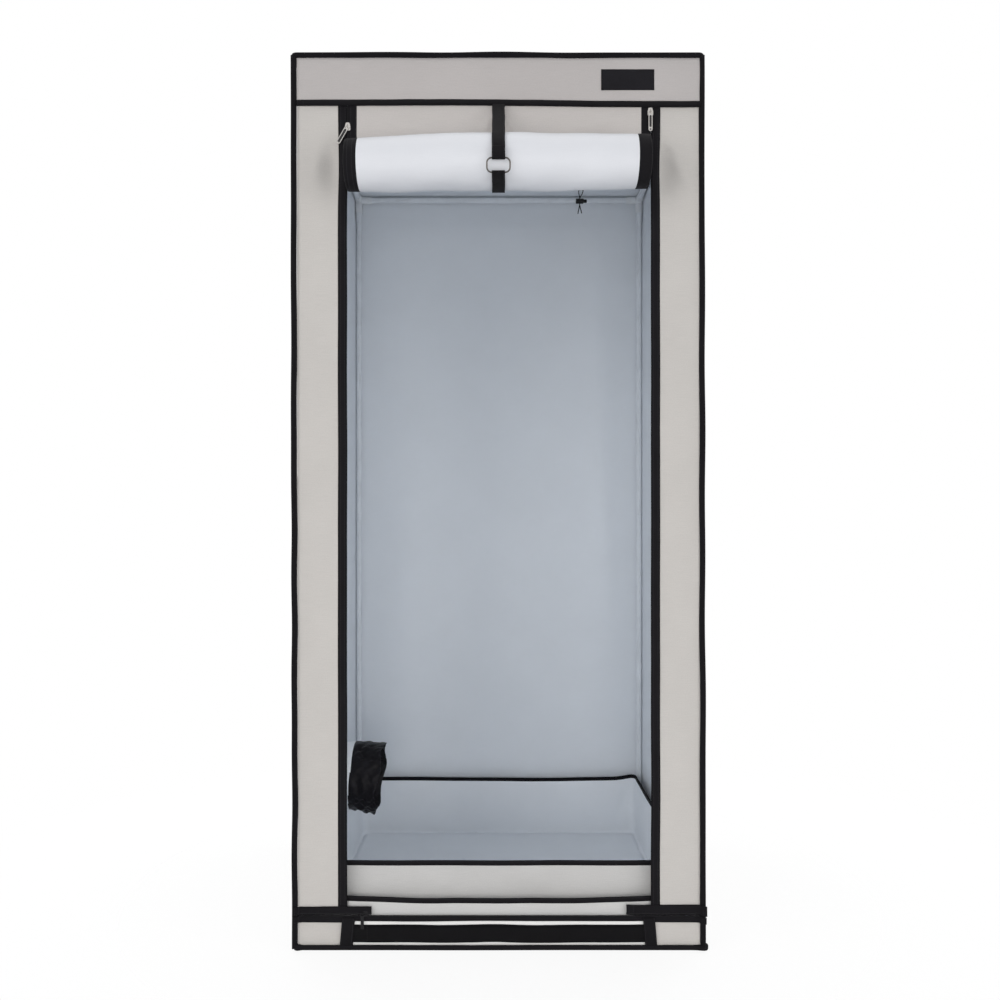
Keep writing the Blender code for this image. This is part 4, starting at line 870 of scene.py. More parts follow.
class Studio:
    """Camera at the photo's place, plain pale floor, even white surroundings and soft lights."""

    FOCAL = 35.914
    EYE: Point = (0.0, -2.405, 0.8175)
    SHIFT = (0.001, 0.0417)
    AMBIENT = 0.61
    LIFT = 0.88
    WHITE = (1.0, 1.0, 1.0, 1.0)
    WARM = (1.0, 0.985, 0.96)
    AIM = (0.0, 0.0, 0.9)
    LIGHTS: tuple[tuple[str, Point, float, float], ...] = (
        ("key", (-2.2, -2.6, 1.5), 2.4, 30.0),
        ("fill", (2.4, -2.4, 1.0), 2.4, 24.0),
        ("front", (0.0, -3.2, 0.52), 1.0, 15.0),
        ("top", (0.0, 0.2, 3.9), 2.4, 20.0),
        ("back_left", (-2.2, 2.4, 1.8), 2.2, 26.0),
        ("back_right", (2.4, 2.2, 1.8), 2.2, 26.0),
    )

    def build(self) -> None:
        """Makes the camera, the world, the floor and the lights."""
        self.camera()
        self.world()
        self.floor()
        for name, place, size, power in self.LIGHTS:
            self.light(name, place, size, power)

    def camera(self) -> None:
        """The photo's viewpoint: level, in front of the doorway, with a small shift of the frame."""
        data = bpy.data.cameras.new("camera")
        data.lens = self.FOCAL
        data.sensor_width = 36.0
        data.shift_x, data.shift_y = self.SHIFT
        data.dof.use_dof = False
        eye = bpy.data.objects.new("camera", data)
        eye.location = self.EYE
        eye.rotation_euler = (math.pi / 2, 0.0, 0.0)
        bpy.context.scene.collection.objects.link(eye)
        bpy.context.scene.camera = eye
        bpy.context.scene.view_settings.view_transform = "Standard"

    def world(self) -> None:
        """White where the camera, a mirror or glass looks at it, and softer as a light."""
        world = bpy.data.worlds.new("studio")
        bpy.context.scene.world = world
        world.use_nodes = True
        nodes = Nodes(world.node_tree)
        lit = nodes.add("Background", {"Color": (0.94, 0.97, 1.0, 1.0), "Strength": self.AMBIENT}).outputs[0]
        seen = nodes.add("Background", {"Color": self.WHITE}).outputs[0]
        mix = nodes.add("MixShader", {0: nodes.looked_at(), 1: lit, 2: seen}).outputs[0]
        nodes.add("OutputWorld", {"Surface": mix})

    def floor(self) -> None:
        """A white disc under the tent, lifted towards white where it is looked at; its alpha falls to 0 outwards."""
        rings, spokes = np.linspace(0.0, 2.4, 13)[:, None], 64
        turn = np.linspace(0, 2 * np.pi, spokes, endpoint=False)[None, :]
        level = np.full((len(rings), spokes), -0.0006)
        points = np.stack([rings * np.cos(turn), rings * np.sin(turn), level], 2)
        shader = Shader("studio_floor")
        where = shader.add("TexCoord").outputs["Object"]
        reach = shader.add("VectorMath", {0: where}, operation="LENGTH").outputs["Value"]
        shown = shader.times(shader.looked_at(), self.LIFT)
        values = {
            "Base Color": shader.tint((0.95, 0.95, 0.95), shader.math("SUBTRACT", 1.0, shown)),
            "Roughness": 0.9,
            "Specular IOR Level": 0.1,
            "Alpha": shader.ramp(reach, 0.62, 1.5, 1.0, 0.0),
            "Emission Color": self.WHITE,
            "Emission Strength": shown,
        }
        quads, _ = grid_quads(len(rings), spokes, True, 0, True)
        corners, index = np.zeros((len(quads), 4, 2)), np.zeros(len(quads), int)
        make_piece("studio_floor", points.reshape(-1, 3), quads, corners, [shader.dress(values)], index)

    def light(self, name: str, place: Point, size: float, power: float) -> None:
        """Adds one soft area light that faces the tent's middle.

        Args:
            name: The light's name.
            place: Where it stands.
            size: Its side.
            power: Its power in watts.
        """
        data = bpy.data.lights.new(name, "AREA")
        data.size, data.energy = size, power
        data.color = self.WARM
        lamp = bpy.data.objects.new(name, data)
        lamp.location = place
        aim = np.array(self.AIM) - np.array(place)
        lamp.rotation_euler = (math.atan2(math.hypot(aim[0], aim[1]), -aim[2]), 0.0, math.atan2(-aim[0], aim[1]))
        bpy.context.scene.collection.objects.link(lamp)


@dataclass(frozen=True)
class Drawstring:
    """The two strands that hang from the roof sleeve's gathered neck through the cord lock."""

    finishes: Finishes
    diameter: float = 0.0025
    spacing: float = 0.0012
    routes: tuple[tuple[str, tuple[Point, ...]], ...] = (
        ("left", (
            (0.2074, 0.1950, 1.7370), (0.2075, 0.1949, 1.7330), (0.2079, 0.1944, 1.7250), (0.2093, 0.1938, 1.7180),
            (0.2102, 0.1935, 1.7125), (0.2103, 0.1935, 1.7050), (0.2103, 0.1935, 1.6985), (0.2098, 0.1934, 1.6935),
            (0.2084, 0.1932, 1.6860), (0.2066, 0.1929, 1.6780), (0.2056, 0.1926, 1.6716),
        )),
        ("right", (
            (0.2199, 0.1950, 1.7370), (0.2196, 0.1951, 1.7330), (0.2171, 0.1956, 1.7250), (0.2130, 0.1962, 1.7180),
            (0.2105, 0.1965, 1.7125), (0.2103, 0.1965, 1.7050), (0.2103, 0.1965, 1.6985), (0.2109, 0.1966, 1.6935),
            (0.2126, 0.1968, 1.6860), (0.2144, 0.1971, 1.6795), (0.2152, 0.1973, 1.6742),
        )),
    )

    def build(self) -> None:
        section = round_profile(self.diameter, self.diameter, 12)
        for name, route in self.routes:
            path = smooth_line(route, self.spacing)
            side, up = frames_along(path, BACKWARD)
            strand = tube_piece(f"drawcord_{name}", path, side, up, section, self.finishes.cord)
            hand_over(strand, Slot.WEBBING, f"drawstring_{name}")


@dataclass(frozen=True)
class Hardware:
    """Finishes for the rigid CAD nodes, through their material slots."""

    finishes: Finishes

    def build(self) -> None:
        """Dresses tubes, connectors, bars, sliders, pulls, ring and cord lock."""
        kinds = {
            self.finishes.tube: ("post_", "top_rail", "bottom_rail", "hanging_bar"),
            self.finishes.pale_plastic: ("corner_",),
            self.finishes.plastic: ("cord_lock",),
            self.finishes.nickel: ("left_zip_slider", "right_zip_slider"),
            self.finishes.left_pull: ("left_zip_pull",),
            self.finishes.right_pull: ("right_zip_pull",),
            self.finishes.ring: ("strap_ring",),
            self.finishes.black_pull: ("bottom_zip_slider", "bottom_zip_pull"),
        }
        count = 0
        for finish, starts in kinds.items():
            for name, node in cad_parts.items():
                if name.startswith(starts):
                    for place in node.material_slots:
                        place.material = finish
                    count += 1
        LOG.info("finishes on %d rigid CAD nodes", count)


@dataclass(frozen=True)
class Crease:
    """A soft ridge along a line: height bell(across / width) bell(along / reach), placed and turned in its panel."""

    across: float
    up: float
    degrees: float
    height: float
    width: float
    reach: float

    def at(self, u: Array, v: Array) -> Array:
        """The ridge's height.

        Args:
            u: Places across its panel.
            v: Places up its panel.

        Returns:
            The height at each place.
        """
        turn = math.radians(self.degrees)
        along = (u - self.across) * math.cos(turn) + (v - self.up) * math.sin(turn)
        off = (v - self.up) * math.cos(turn) - (u - self.across) * math.sin(turn)
        return self.height * bell(off, 0.0, self.width) * bell(along, 0.0, self.reach)


def ridges(creases: tuple[Crease, ...], u: Array, v: Array) -> Array:
    """The summed height of some creases at places u, v."""
    return sum((crease.at(u, v) for crease in creases), np.zeros_like(u))


@dataclass(frozen=True)
class Wall:
    """One panel of the cover, white inside and beige outside, hung with slack towards the inside.

    inward = slack (1 - a^2) (1 - b^2) (0.7 + 0.3 cos(pi (2 a + b))) + sqrt((1 - a^2) (1 - b^2)) (ripples + creases)
    + taut (a step over the first 6 mm from each upright edge, between the connectors), with a and b from -1 to 1
    across and up the panel; the last part is the cloth lying on the posts.
    """

    node: str
    middle: Point
    across: Point
    up: Point
    half_across: float
    half_up: float
    slack: float
    ripples: Ripples
    creases: tuple[Crease, ...] = ()
    port: Point | None = None
    taut: float = 0.0
    step: float = 0.0095

    def places(self) -> Array:
        """Places across and up the panel: a grid that is denser at its edges, or rays from a round port.

        A ray's place is port edge + (panel edge - port edge) share^1.3, with the rays taken clockwise.

        Returns:
            The places (rows, columns, 2).
        """
        wide, high = self.half_across, self.half_up
        if self.port is None:
            u = wide * np.sin(np.linspace(-np.pi / 2, np.pi / 2, round(2 * wide / self.step)))
            v = high * np.sin(np.linspace(-np.pi / 2, np.pi / 2, round(2 * high / self.step)))
            return np.stack(np.meshgrid(u, v), axis=2)
        corners = np.array([(-wide, high), (wide, high), (wide, -high), (-wide, -high), (-wide, high)])
        counts = [round(float(np.linalg.norm(side)) / self.step) for side in np.diff(corners, axis=0)]
        spans = zip(corners[:-1], corners[1:], counts)
        rim = np.vstack([np.linspace(first, last, count, endpoint=False) for first, last, count in spans])
        centre = np.array(self.port[:2])
        start = centre + self.port[2] * unit(rim - centre)
        share = np.sin(np.linspace(0, np.pi / 2, 90))[:, None, None] ** 1.3
        return start + (rim - start) * share

    def build(self, finishes: Finishes) -> Piece:
        """Makes the panel and hands it over.

        Args:
            finishes: The tent's finishes.

        Returns:
            The panel.
        """
        places = self.places()
        u, v = places[..., 0], places[..., 1]
        a, b = u / self.half_across, v / self.half_up
        open_part = np.clip((1 - a**2) * (1 - b**2), 0, 1)
        inward = self.slack * open_part * (0.7 + 0.3 * np.cos(np.pi * (2 * a + b)))
        inward = inward + np.sqrt(open_part) * (self.ripples.at(u, v) + ridges(self.creases, u, v))
        on_post = soft_step(self.half_across - np.abs(u), 0.0, 0.006)
        inward = inward + self.taut * on_post * soft_step(self.half_up - np.abs(v), 0.055, 0.090)
        across, up = np.array(self.across, float), np.array(self.up, float)
        inside = np.cross(across, up)
        points = np.array(self.middle) + u[..., None] * across + v[..., None] * up + inward[..., None] * inside
        around = self.port is not None
        uv = np.concatenate([places, places[:, :1]], axis=1) if around else places
        piece = sheet_piece(self.node + "_cloth", points, CLOTH, [finishes.lining, finishes.shell], 0, 1, around, uv)
        hand_over(piece, Slot.SHELL, self.node)
        return piece


@dataclass(frozen=True)
class Cover:
    """The roof, back, side and floor panels."""

    finishes: Finishes
    slack: float = 0.004
    taut: float = 0.0020
    rear_creases: tuple[Crease, ...] = (
        Crease(0.300, 0.10, 92, 0.0060, 0.035, 0.60),
        Crease(-0.250, -0.10, 88, 0.0035, 0.060, 0.70),
        Crease(0.05, -0.45, 84, 0.0025, 0.050, 0.30),
    )

    def build(self) -> None:
        """Makes the five panels."""
        edge, inner, flat = HALF - CLOTH - GAP, HALF - CLOTH / 2, HALF - GAP
        low, right, left = CLOTH + GAP, (1, 0, 0), (-1, 0, 0)
        middle, half = (low + HEIGHT) / 2, (HEIGHT - low) / 2
        upright = {"up": UPWARD, "half_up": half, "slack": self.slack, "taut": self.taut}
        level = {"up": BACKWARD}
        waves = (0.42, 3, 2.6), (0.40, 11, 2.4), (0.40, 12, 2.4)
        rear, left_soft, right_soft = (Ripples(0.0016, length, seed, stretch) for length, seed, stretch in waves)
        wall_port = (WALL_PORT[0], WALL_PORT[1] - middle, WALL_PORT[2])
        roof_port = (-ROOF_PORT[0], *ROOF_PORT[1:])
        panels = (
            Wall(
                "floor_panel", (0, 0, CLOTH / 2), right, half_across=flat, half_up=flat, slack=0.0,
                ripples=Ripples(0.0, 0.3, 2), step=0.02, **level,
            ),
            Wall(
                "back_panel", (0, inner, middle), right, half_across=edge, ripples=rear, creases=self.rear_creases,
                **upright,
            ),
            Wall(
                "left_side_panel", (-inner, 0, middle), BACKWARD, half_across=HALF, ripples=left_soft, port=wall_port,
                **upright,
            ),
            Wall("right_side_panel", (inner, 0, middle), (0, -1, 0), half_across=HALF, ripples=right_soft, **upright),
            Wall(
                "roof_panel", (0, 0, HEIGHT - CLOTH / 2), left, half_across=edge, half_up=edge, slack=0.002,
                ripples=Ripples(0.0009, 0.30, 5), port=roof_port, **level,
            ),
        )
        for panel in panels:
            panel.build(self.finishes)


def wrap(side: Side) -> Crease:
    """The rise of a tape's end where it is folded over the upright binding."""
    return Crease(side.value * 0.4130, 0.0, 90, 0.0115, 0.0075, 100.0)


PULLS: dict[Side, tuple[Crease, ...]] = {
    Side.LEFT: (
        Crease(-0.333, 1.566, 88, -0.0100, 0.021, 0.052),
        Crease(-0.366, 1.572, 74, 0.0022, 0.012, 0.050),
        Crease(-0.350, 0.620, 70, 0.0012, 0.020, 0.080),
    ),
    Side.RIGHT: (
        Crease(0.331, 1.560, 98, -0.0080, 0.020, 0.052),
        Crease(0.345, 1.606, -43, 0.0040, 0.0050, 0.028),
        Crease(0.362, 1.562, -67, 0.0044, 0.0058, 0.030),
        Crease(0.360, 0.900, 80, 0.0012, 0.020, 0.100),
    ),
}


@dataclass(frozen=True)
class FrontCloth:
    """A cloth or tape that lies in the front's plane: y = depth - (ripples + creases), and its edges sway a little.

    x gains lean (z - low) / high, and z loses a droop that grows from the middle to the right.
    """

    name: str
    slot: Slot
    low: Place
    high: Place
    depth: float
    thickness: float
    ripples: Ripples = Ripples(0.0, 0.2, 1)
    sway: Ripples = Ripples(0.0, 0.3, 1)
    creases: tuple[Crease, ...] = ()
    step: float = 0.006
    lean: float = 0.0
    droop: float = 0.0

    def points(self) -> Array:
        """Works out the cloth's middle surface.

        Returns:
            Its points (rows, columns, 3), rows upward and columns to the right.
        """
        wide, high = self.high[0] - self.low[0], self.high[1] - self.low[1]
        x = np.linspace(self.low[0], self.high[0], max(3, round(wide / self.step)))
        z = np.linspace(self.low[1], self.high[1], max(3, round(high / self.step)))
        x, z = np.meshgrid(x, z)
        out = self.ripples.at(x, z) + ridges(self.creases, x, z)
        swayed_x = x + self.sway.at(z, np.zeros_like(z)) + self.lean * (z - self.low[1]) / high
        fall = self.droop * soft_step(x, 0.0, 0.38)
        return np.stack([swayed_x, self.depth - out, z + self.sway.at(x, np.full_like(x, 0.37)) - fall], 2)

    def build(self, front: Material, *nodes: str, back: Material | None = None, held: str = "stretched") -> Piece:
        """Makes the cloth and hands it over.

        Args:
            front: The finish that faces out.
            nodes: CAD nodes that it replaces.
            back: The finish that faces in, if it is another.

        Returns:
            The piece.
        """
        piece = sheet_piece(self.name, self.points(), self.thickness, [front, back or front], 0, 1)
        hand_over(piece, self.slot, *nodes)
        return piece


@dataclass(frozen=True)
class FrontWall:
    """The fixed parts of the front: strips, header, sill, its flap and tapes, and the light flap behind the sill."""

    finishes: Finishes
    strip: Place = (0.3175, 0.4040)
    flap_half: float = 0.306
    flap_low: float = 0.030
    flap_top: float = 0.1006
    flap_hem: Place = (0.0112, 0.0030)

    def build(self) -> None:
        """Makes every cloth of the front wall."""
        self.strips()
        self.header()
        self.sill()
        self.light_flap()

    def strips(self) -> None:
        """The upright strips beside the doorway, dented and creased where the roll's ends press on them."""
        for side, creases in PULLS.items():
            low, high = side.span(*self.strip)
            soft = Ripples(0.0007, 0.20, 20 + side.value, stretch=2.2)
            FrontCloth(
                f"{side.label}_strip_cloth", Slot.SHELL, (low, 0.0800), (high, 1.7850), FRONT_Y, CLOTH, soft,
                creases=creases,
            ).build(self.finishes.shell, f"{side.label}_front_strip", back=self.finishes.lining)

    def header(self) -> None:
        """The valance over the doorway's top, its bound lower edge and the bare stitched patch."""
        creases = (Crease(-0.005, 1.706, 90, -0.0015, 0.025, 0.020), Crease(-0.30, 1.735, 12, 0.0012, 0.010, 0.050))
        FrontCloth(
            "header_cloth", Slot.SHELL, (-0.4050, 1.6965), (0.4050, 1.7860), -0.4068, CLOTH,
            Ripples(0.0007, 0.22, 31, stretch=0.5), creases=creases,
        ).build(self.finishes.header, "header_panel", back=self.finishes.lining)
        FrontCloth(
            "header_hem", Slot.BINDING, (-0.4052, 1.6910), (0.4052, 1.7020), -0.4078, 0.0042,
            Ripples(0.0004, 0.1, 32), Ripples(0.0011, 0.45, 33), droop=0.0042,
        ).build(self.finishes.hem)
        FrontCloth(
            "header_patch", Slot.WEBBING, (0.2045, 1.7212), (0.3108, 1.7628), -0.4084, 0.0011, Ripples(0.0002, 0.06, 34)
        ).build(self.finishes.patch)

    def sill(self) -> None:
        """The low front panel, its folded flap with the hook-and-loop strip, and the upright webbing bands."""
        FrontCloth(
            "sill_cloth", Slot.SHELL, (-0.4040, 0.0030), (0.4040, 0.0620), FRONT_Y, CLOTH, Ripples(0.0006, 0.12, 41)
        ).build(self.finishes.shell, "sill_panel", back=self.finishes.lining)
        FrontCloth(
            "sill_flap_cloth", Slot.LINING, (-0.2960, 0.0080), (0.2960, 0.0572), -0.4063, CLOTH,
            Ripples(0.0005, 0.10, 42), Ripples(0.0006, 0.3, 43),
        ).build(self.finishes.sill_flap, "sill_flap", held="folded")
        FrontCloth(
            "hook_strip", Slot.WEBBING, (-0.2950, 0.0155), (0.2950, 0.0508), -0.4082, 0.0014,
            Ripples(0.0005, 0.10, 42), Ripples(0.0008, 0.25, 44),
        ).build(self.finishes.hooks, "hook_and_loop_strip")
        for side, outer in ((Side.LEFT, 0.3190), (Side.RIGHT, 0.3170)):
            low, high = side.span(0.2930, outer)
            FrontCloth(
                f"{side.label}_sill_webbing", Slot.WEBBING, (low, 0.0040), (high, 0.0640), -0.4090, 0.0016,
                Ripples(0.0003, 0.05, 45), lean=-0.0050 * side.value, step=0.003,
            ).build(self.finishes.webbing)

    def light_flap(self) -> None:
        """The loose flap behind the sill: z = low + share (top - low), with its bound top edge higher at both ends."""
        half, low, top = self.flap_half, self.flap_low, self.flap_top
        x, share = np.meshgrid(np.linspace(-half, half, 110), np.linspace(0, 1, 16))
        lift = 0.0050 * np.abs(x / half) ** 3 + Ripples(0.0007, 0.2, 51).at(x, share)
        z = low + share * (top - low + lift)
        ripples = Ripples(0.0006, 0.12, 52).at(x, z) * soft_step(z, 0.055, 0.075)
        y = -0.4022 + 0.0026 * soft_step(z, 0.050, 0.062) + ripples
        points = np.stack([x, y, z], 2)
        # The flap's front finish carries painted light against the shade under the sill.
        flap = sheet_piece("light_flap_cloth", points, 0.0010, [self.finishes.flap, self.finishes.lining], 0, 1)
        edge = points[-1] + np.array([0.0, 0.0, -0.0048])
        side, up = frames_along(edge, UPWARD)
        hem = tube_piece("light_flap_hem", edge, side, up, round_profile(*self.flap_hem, 12, 0.7), self.finishes.hem)
        hand_over(flap, Slot.SHELL, "light_flap")
        hand_over(hem, Slot.BINDING)


@dataclass(frozen=True)
class Bindings:
    """Folded black binding sewn over the cover's outer seams; its top is pulled a little to the left."""

    finishes: Finishes
    fold: Place = (0.0136, 0.0042)
    reach: float = 0.0034
    lean: float = 0.0028
    base_fold: Place = (0.0062, 0.0100)
    corner_swell: float = 0.30

    def build(self) -> None:
        """Makes the roof loop, the four uprights and the base loop."""
        fold = round_profile(*self.fold, 16, 0.75)
        out, top = HALF + self.reach, HEIGHT + self.reach
        path = self.loop(out, 0.007, top, Ripples(0.0012, 0.30, 61))
        path[:, 2] += 0.0008 * bell(path[:, 0], -0.20, 0.12) * (path[:, 1] < 0) - 0.0006
        path[:, 0] -= self.lean
        up, outward = frames_along(path, UPWARD, closed=True)
        sides = unit(outward + up), unit(up - outward)
        piece = tube_piece("roof_binding", path, *sides, fold, self.finishes.binding, closed=True)
        hand_over(piece, Slot.BINDING, "seam_binding")
        for column in Side:
            for depth, end in ((-1, "front"), (1, "rear")):
                z = np.linspace(0.0040, top - 0.0010, 190)
                wave = Ripples(0.0010, 0.26, 64 + column.value + 3 * depth)
                shift = wave.at(z, np.zeros_like(z)) * np.sqrt(np.clip(1 - (2 * z / HEIGHT - 1) ** 2, 0, 1))
                x = column.value * (out + shift) - self.lean * z / HEIGHT
                line = np.stack([x, depth * (out + wave.at(z, np.ones_like(z)) * 0.5), z], 1)
                side, front = frames_along(line, (column.value, depth, 0.0))
                name = f"upright_binding_{column.label}_{end}"
                hand_over(tube_piece(name, line, side, front, fold, self.finishes.binding), Slot.BINDING)
        path = self.loop(out, 0.006, 0.0052, Ripples(0.0007, 0.25, 67))
        path[:, 0] += 0.0080 * bell(np.hypot(path[:, 0] - HALF, path[:, 1] + HALF), 0.0, 0.016)
        up, outward = frames_along(path, UPWARD, closed=True)
        corner = np.minimum(np.abs(path[:, 0]), np.abs(path[:, 1])) / HALF
        swell = 1 + self.corner_swell * soft_step(corner, 0.975, 1.0)
        base, tape = round_profile(*self.base_fold, 14, 0.75), self.finishes.binding
        piece = tube_piece("base_binding_tape", path, outward, up, base, tape, closed=True, swell=swell)
        hand_over(piece, Slot.BINDING, "base_binding")

    @staticmethod
    def loop(half: float, radius: float, height: float, wave: Ripples) -> Array:
        """An anticlockwise square loop with rounded corners, pushed out and up by its waves.

        Args:
            half: Half its width.
            radius: Its corners' radius.
            height: Its height above the floor.
            wave: How it sways.

        Returns:
            The loop's points (n, 3).
        """
        straight = np.linspace(radius - half, half - radius, 90)
        turn = np.linspace(-np.pi / 2, 0, 7)[1:-1]
        x = np.append(straight, half - radius + radius * np.cos(turn))
        y = np.append(np.full_like(straight, -half), radius - half + radius * np.sin(turn))
        quarter = np.array([[0, 1], [-1, 0]])
        flat = np.vstack([np.column_stack([x, y]) @ np.linalg.matrix_power(quarter, turns) for turns in range(4)])
        along = lengths_along(flat)
        fade = np.sin(np.pi * along / along[-1] * 4) ** 2
        push = wave.at(along, np.zeros_like(along)) * fade
        flat = flat * (1 + push[:, None] / half)
        return np.column_stack([flat, height + wave.at(along, np.ones_like(along)) * fade])


def coil_piece(name: str, path: Array, steady: Point, finish: Material, across: float = 0.0030) -> Piece:
    """A zip's coil as one toothed strand: its size follows 0.87 + 0.13 sin(2 pi s / pitch) along the path.

    Args:
        name: The piece's name.
        path: The coil's line, resampled here to three points a tooth.
        steady: A direction never along it.
        finish: Its material.
        across: Its width.

    Returns:
        The piece.
    """
    pitch = 0.0015
    s = lengths_along(path)
    places = np.arange(0, s[-1], pitch / 3)
    line = np.stack([np.interp(places, s, path[:, axis]) for axis in range(3)], 1)
    side, up = frames_along(line, steady)
    teeth = 0.87 + 0.13 * np.sin(2 * np.pi * places / pitch)
    return tube_piece(name, line, side, up, round_profile(across, across, 6), finish, swell=teeth)


@dataclass(frozen=True)
class Zips:
    """The fixed half tapes of the door's zip with their coils, and the sill's zip."""

    finishes: Finishes
    upright_tape: Place = (0.3046, 0.3228)
    upright_coil: float = 0.3059
    sill_coil: Point = (COIL_END, -0.4062, 0.0678)
    stub_coil: Point = (COIL_END, -0.4068, 0.0731)

    def coil(self, name: str, path: Array) -> None:
        """Makes a coil along a path and hands it over."""
        hand_over(coil_piece(name, path, BACKWARD, self.finishes.coil), Slot.BINDING)

    def build(self) -> None:
        """Makes the upright tapes with their short stubs, and the sill's tape."""
        for side, stub_end, stub_top in ((Side.LEFT, 0.4112, 0.0866), (Side.RIGHT, 0.4146, 0.0905)):
            self.upright(side)
            self.stub(side, stub_end, stub_top)
        FrontCloth(
            "sill_zip_tape", Slot.BINDING, (-0.4110, 0.0548), (0.4142, 0.0680), -0.4058, 0.0011,
            Ripples(0.0004, 0.1, 71), Ripples(0.0004, 0.3, 72), (wrap(Side.LEFT), wrap(Side.RIGHT)), step=0.003,
        ).build(self.finishes.zip_tape, "bottom_zip_tape")
        end, y, z = self.sill_coil
        self.coil("sill_zip_coil", np.array([(-end, y, z), (end, y, z)]))

    def upright(self, side: Side) -> None:
        """One side's upright half tape, and the coil on its inner edge.

        Args:
            side: Which side of the doorway.
        """
        low, high = side.span(*self.upright_tape)
        sway = Ripples(0.0005, 0.35, 74 + side.value)
        FrontCloth(
            f"{side.label}_zip_band", Slot.BINDING, (low, 0.0735), (high, 1.7847), -0.4053, 0.0011,
            Ripples(0.0003, 0.15, 76 + side.value), sway, PULLS[side],
        ).build(self.finishes.zip_tape, f"{side.label}_zip_tape")
        z = np.linspace(0.0810, 1.7845, 300)
        x = side.value * self.upright_coil + sway.at(z, np.zeros_like(z))
        self.coil(f"{side.label}_zip_coil", np.stack([x, FRONT_Y - ridges(PULLS[side], x, z), z], 1))

    def stub(self, side: Side, outer: float, top: float) -> None:
        """The short end of the bottom zip that runs from an upright tape along the sill, with its coil.

        Args:
            side: Which side of the doorway.
            outer: Where its outer end lies.
            top: Its upper edge's height.
        """
        low, high = side.span(0.2550, outer)
        FrontCloth(
            f"{side.label}_zip_stub", Slot.BINDING, (low, 0.0702), (high, top), -0.4068, 0.0013,
            Ripples(0.0005, 0.07, 78 + side.value), Ripples(0.0006, 0.12, 79 + side.value), (wrap(side),), step=0.003,
        ).build(self.finishes.zip_tape)
        end, y, z = self.stub_coil
        self.coil(f"{side.label}_stub_coil", np.array([(max(low, -end), y, z), (min(high, end), y, z)]))


